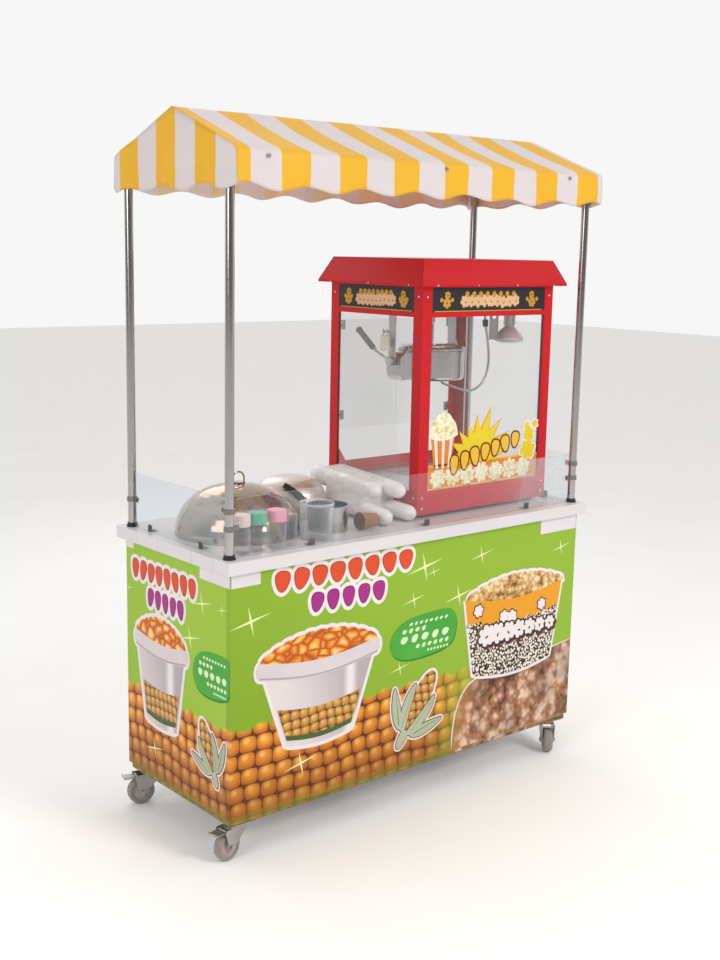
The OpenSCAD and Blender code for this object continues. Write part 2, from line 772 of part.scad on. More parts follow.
module kettle_pot() {
    r = kettle_r;
    r1 = kettle_r - kettle_wall;
    house_x = arm_l_x + 8 - kx;
    color("silver") {
        translate([kx, ky, 0]) difference() {
            union() {
                // drum with a rounded foot and a rolled rim
                rotate_extrude($fn = 96) polygon([[0, kettle_z0], [r - 12, kettle_z0], [r - 6, kettle_z0 + 1.6],
                    [r - 1.6, kettle_z0 + 6], [r, kettle_z0 + 12], [r, kettle_z1 - 5], [r + 2.5, kettle_z1 - 5],
                    [r + 2.5, kettle_z1], [0, kettle_z1]]);
                // housing of the heater leads on the left
                translate([0, 31, 0]) rotate([90, 0, 0]) linear_extrude(62)
                    polygon([[14 - r, kettle_z0 + 14], [house_x + 14, kettle_z0 + 3], [house_x, kettle_z0 + 18],
                        [house_x, 1300], [house_x + 20, 1315], [14 - r, 1315]]);
            }
            rotate_extrude($fn = 96) polygon([[0, kettle_z0 + 5], [r1 - 11, kettle_z0 + 5],
                [r1 - 5, kettle_z0 + 7], [r1 - 1, kettle_z0 + 11], [r1, kettle_z0 + 16], [r1, kettle_z1 + 1],
                [0, kettle_z1 + 1]]);
            // well in which the stirrer's foot turns
            translate([0, 0, kettle_z0 + 2]) cylinder(r = shaft_r + 0.1, h = 10);
        }
        // trunnion in the housing's outer face
        translate([kx + house_x + 1, ky, kz]) rotate([0, -90, 0]) cylinder(r = trunnion_r, h = 15);
        // trunnion and its plate on the right
        translate([kx, ky, kz]) rotate([0, 90, 0]) {
            translate([0, 0, r - 1]) cylinder(r = 17, h = 9);
            translate([0, 0, r + 6]) linear_extrude(4) square([62, 46], center = true);
            translate([0, 0, r + 9]) cylinder(r = trunnion_r, h = 30);
        }
        // hinge bar for the two lid halves, in four pieces between the knuckles
        translate([kx, ky, lid_axis_z]) rotate([0, 90, 0])
            difference() {
                cylinder(r = lid_pin_r, h = 2 * kettle_r - 10, center = true);
                cylinder(r = lid_pin_r + 1, h = 24, center = true);
            }
        for (s = [-1, 1]) translate([kx, ky, 0]) {
            block([s > 0 ? 93 : -99, -3, kettle_z1 - 12], [s > 0 ? 99 : -93, 3, lid_axis_z]);
            block([s > 0 ? 98 : -103, -3, kettle_z1 - 12], [s > 0 ? 103 : -98, 3, kettle_z1 - 4]);
        }
        // ring around the stirrer shaft that joins the bar's halves
        translate([kx, ky, lid_axis_z - 3]) difference() {
            cylinder(r = 14, h = 6);
            translate([0, 0, -1]) cylinder(r = shaft_r + 0.1, h = 8);
        }
    }
}

// one half of the lid, over +Y, with knuckles at x = own and room for the other half's at x = other
module lid_half(own, other) {
    r = kettle_r + 1;
    difference() {
        union() {
            difference() {
                translate([0, 0, lid_z]) rotate_extrude(angle = 180, $fn = 96)
                    polygon([[0, 11], [r - 6, 11], [r, 7], [r, 0], [r - 1.5, 0], [r - 1.5, 6.5],
                        [r - 6.5, 9.5], [0, 9.5]]);
                block([-r - 1, -1, lid_z - 5], [r + 1, 3, lid_z + 20]);
                translate([0, 0, lid_z - 5]) cylinder(r = 18, h = 30);
                for (x = other) block([x - 8, -1, lid_z - 5], [x + 8, 6.5, lid_z + 20]);
                for (s = [-1, 1])
                    block([s > 0 ? 91 : -110, -1, lid_z - 3], [s > 0 ? 110 : -91, 4.5, lid_axis_z + 3.5]);
            }
            for (x = own) translate([x, 0, lid_axis_z]) {
                rotate([0, 90, 0]) cylinder(r = 5, h = 14, center = true);
                block([-7, 0, -1.5], [7, 12, 3]);
            }
            block([-8, 66, lid_z + 10], [8, 70, lid_z + 16]);
        }
        translate([0, 0, lid_axis_z]) rotate([0, 90, 0]) cylinder(r = lid_pin_r + run, h = 300, center = true);
    }
}

module kettle_lid_rear() {
    color("lightgray") translate([kx, ky, 0]) lid_half([-70, 34], [-34, 70]);
}
module kettle_lid_front() {
    color("lightgray") translate([kx, ky, 0]) mirror([0, 1, 0]) lid_half([-34, 70], [-70, 34]);
}

module kettle_stirrer() {
    color("silver") translate([kx, ky, 0]) {
        translate([0, 0, kettle_z0 + 3]) cylinder(r = shaft_r, h = stir_top - kettle_z0 - 3);
        for (s = [0, 1]) rotate(s * 180 + 25) {
            block([0, -3, kettle_z0 + 8], [88, 3, kettle_z0 + 12]);
            block([60, -3, kettle_z0 + 8], [64, 3, kettle_z0 + 30]);
        }
        translate([0, 0, kettle_z0 + 6]) cylinder(r = 12, h = 8);
    }
}

module kettle_handle() {
    x0 = arm_l_x - 6;
    rod_r = 4;
    grip_r = 9;
    swell = 1.5;
    knee = [106, 62, 1308];
    elbow = [82, 62, 1322];
    grip0 = [80, 72, 1330];
    tip = [80, 140, 1380];
    color("dimgray") {
        translate([x0 - 8, ky, kz]) rotate([0, 90, 0]) cylinder(r = 14, h = 8);
        bar([x0 - 4, ky, kz], knee, rod_r);
        translate(knee) sphere(r = rod_r + swell);
        bar(knee, elbow, rod_r);
        translate(elbow) sphere(r = rod_r + swell);
        bar(elbow, grip0, rod_r);
        bar(grip0, tip, grip_r);
        translate(tip) sphere(r = grip_r + swell);
    }
}

// ---- lamp and conduit ----

module heat_lamp() {
    color("whitesmoke") translate([lamp_pos.x, lamp_pos.y, 0]) rotate_extrude($fn = 64)
        polygon([[0, 1337], [24, 1338.5], [41, 1343], [46.5, 1350], [46, 1357], [39, 1368], [28, 1380],
            [17, 1390], [13.5, 1397], [13.5, 1404], [0, 1404]]);
}

module lamp_holder() {
    color("silver") translate([lamp_pos.x, lamp_pos.y, 0]) {
        difference() {
            translate([0, 0, 1396]) cylinder(r = 19, h = 40);
            translate([0, 0, 1395]) cylinder(r = 14.7, h = 20);
        }
        block([-4, -15, 1430], [4, 15, ceiling_z]);
        difference() {
            block([-64, -8, 1350], [-60, 28, ceiling_z]);
            translate([-65, 10, 1426]) rotate([0, 90, 0]) cylinder(r = 11, h = 6);
        }
        block([-64, -15, ceiling_z - 4], [4, 28, ceiling_z]);
    }
}

// tube swept along the route by rings that stand square to it
function unit(v) = v / norm(v);
function tangent(p, i) = unit(p[min(i + 1, len(p) - 1)] - p[max(i - 1, 0)]);
function ring(p, i, r, n) = let (t = tangent(p, i), side = [0, 1, 0], up = unit(cross(t, side)))
    [for (k = [0:n - 1]) p[i] + r * (cos(360 * k / n) * side + sin(360 * k / n) * up)];
module kettle_conduit() {
    n = CONDUIT_SIDES;
    m = len(CONDUIT);
    points = [for (i = [0:m - 1]) each ring(CONDUIT, i, CONDUIT_R, n)];
    walls = [for (i = [0:m - 2], k = [0:n - 1]) [i * n + k, (i + 1) * n + k,
        (i + 1) * n + (k + 1) % n, i * n + (k + 1) % n]];
    ends = [[for (k = [0:n - 1]) k], [for (k = [n - 1:-1:0]) (m - 1) * n + k]];
    color("silver") polyhedron(points = points, faces = concat(walls, ends));
    // fitting under the ceiling plate
    last = CONDUIT[m - 1];
    color("silver") translate(last) cylinder(r = 9, h = ceiling_z - last.z);
}

// ---- steamer pans and dome lids ----

module pan(pos, r) {
    translate([pos.x, pos.y, 0]) difference() {
        union() {
            translate([0, 0, worktop_z - pan_depth]) cylinder(r = r, h = pan_depth + pan_t, $fn = 96);
            translate([0, 0, worktop_z]) cylinder(r = r + pan_rim, h = pan_t, $fn = 96);
        }
        translate([0, 0, worktop_z - pan_depth + pan_t]) cylinder(r = r - pan_t, h = pan_depth + 5, $fn = 96);
    }
}

module steamer_pans() {
    color("silver") {
        pan(dome_l_pos, pan_l_r);
        pan(dome_r_pos, pan_r_r);
    }
}

// half outline of a dome: a superellipse of radius r, height h and power p
function dome_point(r, h, p, a) = [r * pow(cos(a), 2 / p), h * pow(sin(a), 2 / p)];
function dome_curve(r, h, p, n) = [for (k = [0:n]) dome_point(r, h, p, 90 * k / n)];
module dome_shell(r, h, p) {
    n = 14;
    t = 1.2;
    outer = [for (q = dome_curve(r, h, p, n)) [max(q.x, 0), q.y]];
    inner = [for (q = dome_curve(r - t, h - t, p, n)) [max(q.x, 0), q.y]];
    rotate_extrude($fn = 96) polygon(concat(outer, [for (i = [n:-1:0]) inner[i]]));
    // rolled rim
    rotate_extrude($fn = 96) translate([r - 1, 0]) square([3, 4]);
}

module dome_lid_left() {
    r = dome_l_d / 2 - 2;
    color("silver") translate([dome_l_pos.x, dome_l_pos.y, worktop_z + 0.3]) {
        dome_shell(r, dome_l_h, 2.2);
        // cap and wire bow
        translate([0, 0, dome_l_h - 1]) cylinder(r = 16, h = 5);
        for (s = [-1, 1]) translate([s * 20, 0, dome_l_h - 2]) cylinder(r = 2.5, h = 14);
        translate([0, 0, dome_l_h + 12]) rotate([90, 0, 0]) rotate_extrude(angle = 180) translate([20, 0]) circle(r = 2.5);
    }
}

module dome_lid_right() {
    r = dome_r_d / 2 - 2;
    color("silver") translate([dome_r_pos.x, dome_r_pos.y, worktop_z + 0.3]) dome_shell(r, dome_r_h, 3);
    // strap handle bowed over the near side of the lid, on two studs
    d = unit(STRAP[1] - STRAP[0]);
    n = unit(strap_out - d * (strap_out * d));
    w = cross(d, n);
    o = (STRAP[0] + STRAP[1]) / 2 + [dome_r_pos.x, dome_r_pos.y, worktop_z];
    half = norm(STRAP[1] - STRAP[0]) / 2;
    outer = [for (k = [-6:6]) [half * k / 6, 7 * (1 - k * k / 36)]];
    inner = [for (k = [6:-1:-6]) [half * k / 6, 7 * (1 - k * k / 36) - 4]];
    color("black") multmatrix([[d.x, n.x, w.x, o.x], [d.y, n.y, w.y, o.y], [d.z, n.z, w.z, o.z]]) {
        translate([0, 0, -8]) linear_extrude(16) polygon(concat(outer, inner));
        for (x = [-half + 7, half - 7]) translate([x, -11.3, 0]) rotate([-90, 0, 0]) cylinder(r = 4, h = 12);
    }
}

// ---- goods on the worktop ----

module clear_containers() {
    jar_y = -206;
    tub = [-334, -184];
    color([0.85, 0.92, 0.95, 0.4]) {
        for (x = [-604, -550, -487]) translate([x, jar_y, worktop_z]) {
            cylinder(r = 25, h = 62);
            translate([0, 0, 60]) cylinder(r1 = 25, r2 = 20, h = 14);
            translate([0, 0, 74]) cylinder(r = 26, h = 30);
        }
        translate([-439, jar_y, worktop_z]) cylinder(r = 17, h = 86);
        difference() {
            translate([tub.x, tub.y, worktop_z]) cylinder(r1 = 44, r2 = 48, h = 104);
            translate([tub.x, tub.y, worktop_z + 2]) cylinder(r1 = 42.5, r2 = 46.6, h = 104);
        }
    }
}

module sauce_pot() {
    pos = [-236, -110];
    color("silver") translate([pos.x, pos.y, worktop_z]) {
        difference() {
            union() {
                cylinder(r = 58, h = 74);
                translate([0, 0, 71]) cylinder(r = 64, h = 3);
            }
            translate([0, 0, 2]) cylinder(r = 56.8, h = 80);
        }
    }
}

// a tapered sleeve of nested cups lying from its small end p to its large end q
module cup_sleeve(p, q) {
    d = q - p;
    len = norm(d);
    translate(p) rotate([0, acos(d.z / len), atan2(d.y, d.x)]) cylinder(r1 = 24, r2 = 31, h = len);
}

// wrapped sleeves of cups piled beside the popper, and one loose paper cup
module cup_stacks() {
    z0 = worktop_z + 25;
    z1 = worktop_z + 32;
    up = 62;
    color("white") {
        cup_sleeve([-74, -196, z0], [-41, 112, z1]);
        cup_sleeve([27, -190, z0], [27, 120, z1]);
        cup_sleeve([20, -150, z0 + up], [26, 160, z1 + up + 4]);
        cup_sleeve([-42, -110, z0 + up], [-37, 200, z1 + up + 4]);
    }
    color("peru") translate([-172, -176, worktop_z + 27]) rotate([0, 92, 0]) difference() {
        cylinder(r1 = 26, r2 = 19, h = 60);
        translate([0, 0, -1]) cylinder(r1 = 25.2, r2 = 18.4, h = 59);
    }
}

base_frame();
cabinet_boards();
front_panel();
left_end_panel();
right_end_panel();
rear_frame();
cabinet_door_left();
cabinet_door_right();
cabinet_door_hinges();
worktop();
post_sockets();
canopy_posts();
canopy_frame();
canopy_cover();
canopy_screws();
splash_guards();
guard_clips();
castor_plates();
castor_fork_lf();
castor_fork_lb();
castor_fork_rf();
castor_fork_rb();
castor_wheel_lf();
castor_wheel_lb();
castor_wheel_rf();
castor_wheel_rb();
brake_pedal_lf();
brake_pedal_lb();
popper_feet();
popper_base();
popper_deck();
kernel_drawer();
popper_corner_posts();
popper_header();
sign_panels();
popper_roof();
popper_windows();
popper_chute();
popper_door_left();
popper_door_right();
popper_door_hinges();
rocker_switch_a();
rocker_switch_b();
rocker_switch_c();
stir_motor();
kettle_hanger();
kettle_pot();
kettle_lid_front();
kettle_lid_rear();
kettle_stirrer();
kettle_handle();
heat_lamp();
lamp_holder();
kettle_conduit();
steamer_pans();
dome_lid_left();
dome_lid_right();
clear_containers();
sauce_pot();
cup_stacks();
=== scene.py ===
"""Looks of the popcorn cart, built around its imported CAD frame.

Lengths are metres in the cart's own frame: +X to the customer's right, the customer at -Y, +Z up.
Artwork is drawn in millimetres on a Wall, with u to the viewer's right and v the height.
"""
import math
import random

import bmesh
import bpy
from mathutils import Matrix, Vector, noise
from mathutils.geometry import convex_hull_2d, delaunay_2d_cdt


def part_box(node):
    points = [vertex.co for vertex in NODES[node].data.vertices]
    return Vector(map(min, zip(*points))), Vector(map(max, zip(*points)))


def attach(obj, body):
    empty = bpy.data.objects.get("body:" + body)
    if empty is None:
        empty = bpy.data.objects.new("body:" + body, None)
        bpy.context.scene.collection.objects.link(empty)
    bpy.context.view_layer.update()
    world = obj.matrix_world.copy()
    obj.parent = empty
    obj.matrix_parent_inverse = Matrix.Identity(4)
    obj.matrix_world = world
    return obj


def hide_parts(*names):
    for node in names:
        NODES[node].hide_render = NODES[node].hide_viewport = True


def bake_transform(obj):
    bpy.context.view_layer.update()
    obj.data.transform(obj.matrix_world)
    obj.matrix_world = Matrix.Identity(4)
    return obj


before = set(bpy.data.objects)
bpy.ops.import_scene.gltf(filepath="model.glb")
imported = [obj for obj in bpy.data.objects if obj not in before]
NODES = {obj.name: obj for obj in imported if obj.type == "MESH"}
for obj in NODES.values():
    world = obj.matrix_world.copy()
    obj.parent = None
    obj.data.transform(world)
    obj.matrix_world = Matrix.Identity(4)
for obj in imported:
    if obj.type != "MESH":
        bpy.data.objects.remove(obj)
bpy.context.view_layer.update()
MM = 0.001
UP = Vector((0, 0, 1))
TURN = 2 * math.pi


# ---- camera and stage ----

def add_camera():
    """A customer's view from the left, with the eye a little below the canopy's eave."""
    data = bpy.data.cameras.new("camera")
    data.sensor_width = 36
    data.lens = 47.6
    data.clip_end = 60
    camera = bpy.data.objects.new("camera", data)
    bpy.context.scene.collection.objects.link(camera)
    heading, drop, tilt = math.radians(-40.35), math.radians(10.34), math.radians(1.156)
    aim = Matrix.Rotation(heading, 4, "Z") @ Matrix.Rotation(math.pi / 2 - drop, 4, "X")
    camera.matrix_world = Matrix.Translation((-2.463, -2.871, 1.628)) @ aim @ Matrix.Rotation(tilt, 4, "Z")
    bpy.context.scene.camera = camera


def add_light(name, place, target, size, watts, tint=(1, 1, 1)):
    data = bpy.data.lights.new(name, "AREA")
    data.shape = "DISK"
    data.size = size
    data.energy = watts
    data.color = tint
    light = bpy.data.objects.new(name, data)
    bpy.context.scene.collection.objects.link(light)
    light.location = place
    light.rotation_euler = (Vector(target) - Vector(place)).to_track_quat("-Z", "Y").to_euler()


def add_world():
    """White surroundings beyond the cart and grey ones behind the viewer, for contrast in plated parts."""
    world = bpy.data.worlds.new("studio")
    world.use_nodes = True
    nodes, links = world.node_tree.nodes, world.node_tree.links
    where = nodes.new("ShaderNodeTexCoord")
    ahead = nodes.new("ShaderNodeVectorMath")
    ahead.operation = "DOT_PRODUCT"
    ahead.inputs[1].default_value = (0.52, 0.62, 0.59)
    share = nodes.new("ShaderNodeMapRange")
    share.interpolation_type = "SMOOTHSTEP"
    share.inputs["From Min"].default_value = -0.35
    share.inputs["From Max"].default_value = 0.35
    tone = nodes.new("ShaderNodeMix")
    tone.data_type = "RGBA"
    tone.inputs[6].default_value = (0.16, 0.15, 0.14, 1)
    tone.inputs[7].default_value = (0.97, 0.965, 0.96, 1)
    links.new(where.outputs["Generated"], ahead.inputs[0])
    links.new(ahead.outputs["Value"], share.inputs["Value"])
    links.new(share.outputs["Result"], tone.inputs["Factor"])
    links.new(tone.outputs[2], nodes["Background"].inputs["Color"])
    nodes["Background"].inputs["Strength"].default_value = 0.96
    bpy.context.scene.world = world


def add_stage():
    """Pale floor, pale surroundings and three soft lamps."""
    bpy.context.scene.view_settings.view_transform = "Standard"
    add_world()
    bpy.ops.mesh.primitive_plane_add(size=40)
    floor = bpy.context.object
    floor.name = "studio_floor"
    paint = Shade("floor_paint", Roughness=0.9, Specular_IOR_Level=0.1)
    speckle = paint.noise(3.0, 2)
    paint.tint(speckle, "FAF9F8", "FFFFFF")
    floor.data.materials.append(paint.material)
    middle = (0, 0, 0.9)
    add_light("key", (0.9, -4.2, 3.2), middle, 1.6, 94, (1, 0.975, 0.95))
    add_light("fill", (-4.2, -1.4, 2.6), middle, 2.4, 54, (1, 0.98, 0.96))
    add_light("back", (0.6, 3.0, 3.0), middle, 2.0, 16)


# ---- shader building ----

def colour(code):
    """Linear colour of a six-figure hex code."""
    parts = [int(code[i:i + 2], 16) / 255 for i in (0, 2, 4)]
    linear = [c / 12.92 if c <= 0.04045 else ((c + 0.055) / 1.055) ** 2.4 for c in parts]
    return (*linear, 1)


class Value:
    """A number that varies over a surface: a shader socket that takes part in arithmetic."""

    def __init__(self, shade, socket):
        self.shade = shade
        self.socket = socket

    def math(self, kind, *others):
        made = self.shade.node("ShaderNodeMath", operation=kind)
        for socket, value in zip(made.inputs, (self, *others)):
            self.shade.feed(socket, value)
        return Value(self.shade, made.outputs[0])

    def __add__(self, other):
        return self.math("ADD", other)

    def __sub__(self, other):
        return self.math("SUBTRACT", other)

    def __mul__(self, other):
        return self.math("MULTIPLY", other)

    def __truediv__(self, other):
        return self.math("DIVIDE", other)

    def __pow__(self, other):
        return self.math("POWER", other)

    def abs(self):
        return self.math("ABSOLUTE")

    def floor(self):
        return self.math("FLOOR")

    def part(self):
        return self.math("FRACT")

    def sin(self):
        return self.math("SINE")

    def max(self, other):
        return self.math("MAXIMUM", other)

    def above(self, edge, soft=0.0005):
        """0 below the edge and 1 above it, with a soft step."""
        made = self.shade.node("ShaderNodeMapRange", interpolation_type="SMOOTHSTEP")
        self.shade.feed(made.inputs["Value"], self)
        self.shade.feed(made.inputs["From Min"], edge - soft)
        self.shade.feed(made.inputs["From Max"], edge + soft)
        return Value(self.shade, made.outputs["Result"])

    def between(self, low, high, soft=0.0005):
        return self.above(low, soft) * (self.above(high, soft) * -1 + 1)


class Shade:
    """A node material, started from a Principled shader."""

    def __init__(self, name, **look):
        self.material = bpy.data.materials.new(name)
        self.material.use_nodes = True
        self.tree = self.material.node_tree
        self.skin = self.tree.nodes["Principled BSDF"]
        self.place = self.node("ShaderNodeTexCoord").outputs["Object"]
        self.set(**look)

    def node(self, kind, **settings):
        made = self.tree.nodes.new(kind)
        for key, value in settings.items():
            setattr(made, key, value)
        return made

    def feed(self, socket, value):
        """Gives an input a Value, a socket, a number, a vector or a colour's hex code."""
        if isinstance(value, str):
            value = colour(value)
        if isinstance(value, Value):
            value = value.socket
        if isinstance(value, bpy.types.NodeSocket):
            self.tree.links.new(value, socket)
        else:
            socket.default_value = value

    def set(self, **look):
        """Feeds the Principled shader's inputs, with _ for each space in a name."""
        for key, value in look.items():
            self.feed(self.skin.inputs[key.replace("_", " ")], value)

    def axes(self):
        split = self.node("ShaderNodeSeparateXYZ")
        self.feed(split.inputs[0], self.place)
        return [Value(self, out) for out in split.outputs]

    def point(self, x=0.0, y=0.0, z=0.0):
        made = self.node("ShaderNodeCombineXYZ")
        for socket, value in zip(made.inputs, (x, y, z)):
            self.feed(socket, value)
        return made.outputs[0]

    def stretched(self, scale):
        """The place, scaled by a factor for each axis, for grain and streaks."""
        made = self.node("ShaderNodeVectorMath", operation="MULTIPLY")
        self.feed(made.inputs[0], self.place)
        self.feed(made.inputs[1], scale)
        return made.outputs[0]

    def noise(self, scale, detail=3.0, at=None):
        made = self.node("ShaderNodeTexNoise")
        self.feed(made.inputs["Vector"], at or self.place)
        self.feed(made.inputs["Scale"], scale)
        self.feed(made.inputs["Detail"], detail)
        return Value(self, made.outputs["Fac"])

    def cells(self, scale, at=None, kind="F1", out="Distance"):
        made = self.node("ShaderNodeTexVoronoi", feature=kind)
        self.feed(made.inputs["Vector"], at or self.place)
        self.feed(made.inputs["Scale"], scale)
        return Value(self, made.outputs[out])

    def chance(self, a, b):
        """A random number for each pair of whole numbers."""
        made = self.node("ShaderNodeTexWhiteNoise", noise_dimensions="2D")
        self.feed(made.inputs["Vector"], self.point(a, b))
        return Value(self, made.outputs["Value"])

    def mix(self, share, first, second):
        made = self.node("ShaderNodeMix", data_type="RGBA")
        self.feed(made.inputs["Factor"], share)
        self.feed(made.inputs[6], first)
        self.feed(made.inputs[7], second)
        return made.outputs[2]

    def tint(self, share, first, second):
        """Gives the surface a mix of two colours."""
        self.set(Base_Color=self.mix(share, first, second))

    def bump(self, height, depth, strength):
        made = self.node("ShaderNodeBump")
        self.feed(made.inputs["Height"], height)
        self.feed(made.inputs["Distance"], depth)
        self.feed(made.inputs["Strength"], strength)
        self.set(Normal=made.outputs[0])


# ---- finishes ----

def dimmed(code, share):
    """A colour at a share of its brightness."""
    return tuple(c * share for c in colour(code)[:3]) + (1,)


def slant(shade, blend=0.25, out="Fresnel"):
    """How far the surface turns away from whoever looks at it."""
    facing = shade.node("ShaderNodeLayerWeight")
    facing.inputs["Blend"].default_value = blend
    return Value(shade, facing.outputs[out])


def metal(name, code, rough, stretch=(1, 1, 1), smudge=0.06):
    """Bare or plated metal with grain drawn out along an axis and faint handling marks."""
    shade = Shade(name, Metallic=1.0)
    grain = shade.noise(160, 2, shade.stretched(stretch))
    marks = shade.noise(7, 4)
    shade.tint(marks * 0.5 + grain * 0.3, code, dimmed(code, 0.8))
    shade.set(Roughness=marks * smudge + grain * smudge + rough)
    shade.bump(grain, 0.0002, 0.12)
    return shade.material


def zinc(name):
    """Zinc plate with a dull spangle."""
    shade = Shade(name, Metallic=1.0)
    spangle = shade.cells(240, out="Color")
    dirt = shade.noise(18, 4)
    shade.tint(dirt * 0.6 + spangle * 0.15, "C9C8C6", "7F7A74")
    shade.set(Roughness=dirt * 0.25 + 0.28)
    shade.bump(dirt, 0.0006, 0.2)
    return shade.material


def enamel(name, code, dark_code):
    """Stoved enamel on sheet steel: slight orange peel and a broad random cloud of darker tone."""
    shade = Shade(name, Specular_IOR_Level=0.28)
    cloud = shade.noise(2.2, 3)
    peel = shade.noise(420, 1)
    shade.tint(cloud, code, dark_code)
    shade.set(Roughness=cloud * 0.12 + 0.3)
    shade.bump(peel, 0.0002, 0.15)
    return shade.material


def plastic(name, code, rough=0.4):
    """Moulded plastic or rubber with a fine matt grain."""
    shade = Shade(name)
    shade.tint(shade.noise(30, 3), code, dimmed(code, 0.88))
    shade.set(Roughness=shade.noise(60, 2) * 0.15 + rough)
    shade.bump(shade.noise(900, 1), 0.0002, 0.15)
    return shade.material


def clear(name, tint, body=0.03, rough=0.03, edge_axis=None):
    """A thin clear sheet: mostly see-through, with gloss that rises at a slant and brighter cut edges."""
    shade = Shade(name, Base_Color=tint, IOR=1.49)
    shade.set(Roughness=shade.noise(9, 3) * 0.05 + rough)
    solid = slant(shade) * 0.3 + shade.noise(5, 3) * 0.02 + body
    if edge_axis is not None:
        split = shade.node("ShaderNodeSeparateXYZ")
        shade.feed(split.inputs[0], shade.node("ShaderNodeNewGeometry").outputs["Normal"])
        solid = solid + Value(shade, split.outputs[edge_axis]).abs().above(0.6, 0.2) * 0.45
    shade.set(Alpha=solid.math("MINIMUM", 1.0))
    return shade.material


def laminate():
    """White laminated board with three pale blue joints down the left edge face."""
    shade = Shade("worktop_laminate", Coat_Weight=0.2, Coat_Roughness=0.2)
    x, y, _ = shade.axes()
    left_face = x.above(CAD_LEFT + 0.004, 0.0005) * -1 + 1
    joints = y.between(-0.111, -0.109) + y.between(0.057, 0.059) + y.between(-0.214, -0.212)
    cloud = shade.noise(4, 4)
    grain = shade.noise(60, 3, shade.stretched((0.25, 1, 1)))
    pale = shade.mix(cloud * 0.6 + grain * 0.3, "E6E2E3", "CFCBCF")
    shade.tint(joints * left_face * 0.8, pale, "8FB6DE")
    shade.set(Roughness=cloud * 0.15 + 0.28)
    shade.bump(grain, 0.0003, 0.08)
    return shade.material


def board(name, code):
    """Melamine-faced board."""
    shade = Shade(name)
    grain = shade.noise(40, 4, shade.stretched((1, 1, 0.08)))
    shade.tint(grain * 0.5, code, dimmed(code, 0.85))
    shade.set(Roughness=grain * 0.1 + 0.42)
    shade.bump(grain, 0.0003, 0.1)
    return shade.material


# ---- printed patterns ----

def kernel_print(shade, u, v, pitch, row, dark="5C2C08", deep="C26A16", light="F5A32C", top="FDCB74"):
    """Rows of corn kernels, seen from above, as a colour."""
    bend = (u * (TURN / (pitch * 9))).sin() * (row * 0.12)
    bend = bend + (u * (TURN / (pitch * 3.7))).sin() * (row * 0.04)
    line = (v + bend) / row
    index = line.floor()
    slip = shade.chance(index, 7.0)
    across = u / pitch + index * 0.13 + slip * 0.22 + (line + u / pitch * 0.7).sin() * 0.07
    cell = across.floor()
    tone = shade.chance(cell, index)
    width = shade.chance(index, cell) * 0.06 + 0.97
    side = (across.part() - 0.5) / width
    rise = line.part() - 0.5
    reach = (side.abs() ** 3.4 + rise.abs() ** 3.4) ** (1 / 3.4)
    body = reach.above(0.475, 0.03) * -1 + 1
    hollow = (side ** 2.0 + (rise - 0.1) ** 2.0) ** 0.5
    skin = shade.mix(hollow.above(0.36, 0.2), light, deep)
    skin = shade.mix(tone * 0.5, skin, deep)
    glow = ((side + 0.1) ** 2.0 + (rise - 0.2) ** 2.0).above(0.03, 0.03) * -1 + 1
    skin = shade.mix(glow * 0.65, skin, top)
    return shade.mix(body, dark, skin)


def loose_kernels(shade, scale):
    """A heap of loose corn kernels as a colour."""
    place = shade.stretched((0.8, 1.0, 1.25))
    edge = shade.cells(scale, place, kind="DISTANCE_TO_EDGE")
    split = shade.node("ShaderNodeSeparateColor")
    shade.feed(split.inputs[0], shade.cells(scale, place, out="Color"))
    skin = shade.mix(Value(shade, split.outputs[0]), "FFC24A", "EF8A1C")
    skin = shade.mix(edge.above(0.14, 0.10), "D66E16", skin)
    skin = shade.mix(edge.above(0.27, 0.09) * 0.7, skin, "FFE3A0")
    return shade.mix(edge.above(0.045, 0.035), "B4530F", skin)


def popcorn_print(shade, scale, pale, mid, deep):
    """Popped corn as a colour: pale lobes, tan hollows and dark gaps."""
    wobble = shade.noise(scale * 0.35, 5)
    lobes = shade.cells(scale)
    fine = shade.cells(scale * 2.3)
    depth = lobes * 0.75 + fine * 0.35 + (wobble - 0.5) * 1.1
    skin = shade.mix(depth.above(0.46, 0.2), pale, mid)
    return shade.mix(depth.above(0.80, 0.16), skin, deep)


def green_ground(shade, u, v, dark, light):
    """The panel's lime green, deeper towards one side and lit in a broad diagonal."""
    sweep = (u * 0.8 + v * 0.9 + 0.1).above(0.25, 0.55)
    cloud = shade.noise(1.6, 2)
    return shade.mix(sweep * 0.85 + cloud * 0.15, dark, light)


def printed_panel(name, u_axis, u_sign, pitch, row, fade_from, dark, light):
    """A panel's print: green ground, a cob along the foot that fades away, and a pale foot line."""
    shade = Shade(name, Specular_IOR_Level=0.3)
    axes = shade.axes()
    u, v = axes[u_axis] * u_sign, axes[2]
    ground = green_ground(shade, u, v, dark, light)
    cob = kernel_print(shade, u, v - 0.346, pitch, row)
    shade_down = v.above(0.21, 0.11)
    cob = shade.mix(shade_down * -0.55 + 0.55, cob, "5E2C08")
    crest = (u * (TURN / (pitch * 2))).sin() * 0.006
    on_cob = (v + crest).above(0.372, 0.009) * -1 + 1
    fade = u.above(fade_from, 0.16) * -1 + 1
    picture = shade.mix(on_cob * fade, ground, cob)
    foot = v.above(0.132, 0.008) * -1 + 1
    picture = shade.mix(foot * 0.45, picture, "8A9A30")
    shade.set(Base_Color=picture, Roughness=shade.noise(12, 2) * 0.1 + 0.3)
    shade.bump(shade.noise(3, 2), 0.002, 0.05)
    return shade.material


def picture_print(name, paint):
    """A printed picture whose colour is made by paint(shade)."""
    shade = Shade(name, Specular_IOR_Level=0.3)
    shade.set(Base_Color=paint(shade), Roughness=shade.noise(40, 1) * 0.08 + 0.35)
    return shade.material


def flat_print(name, code, other):
    """One printed colour with the slight unevenness of ink on film."""
    return picture_print(name, lambda s: s.mix(s.noise(9, 3), code, other))


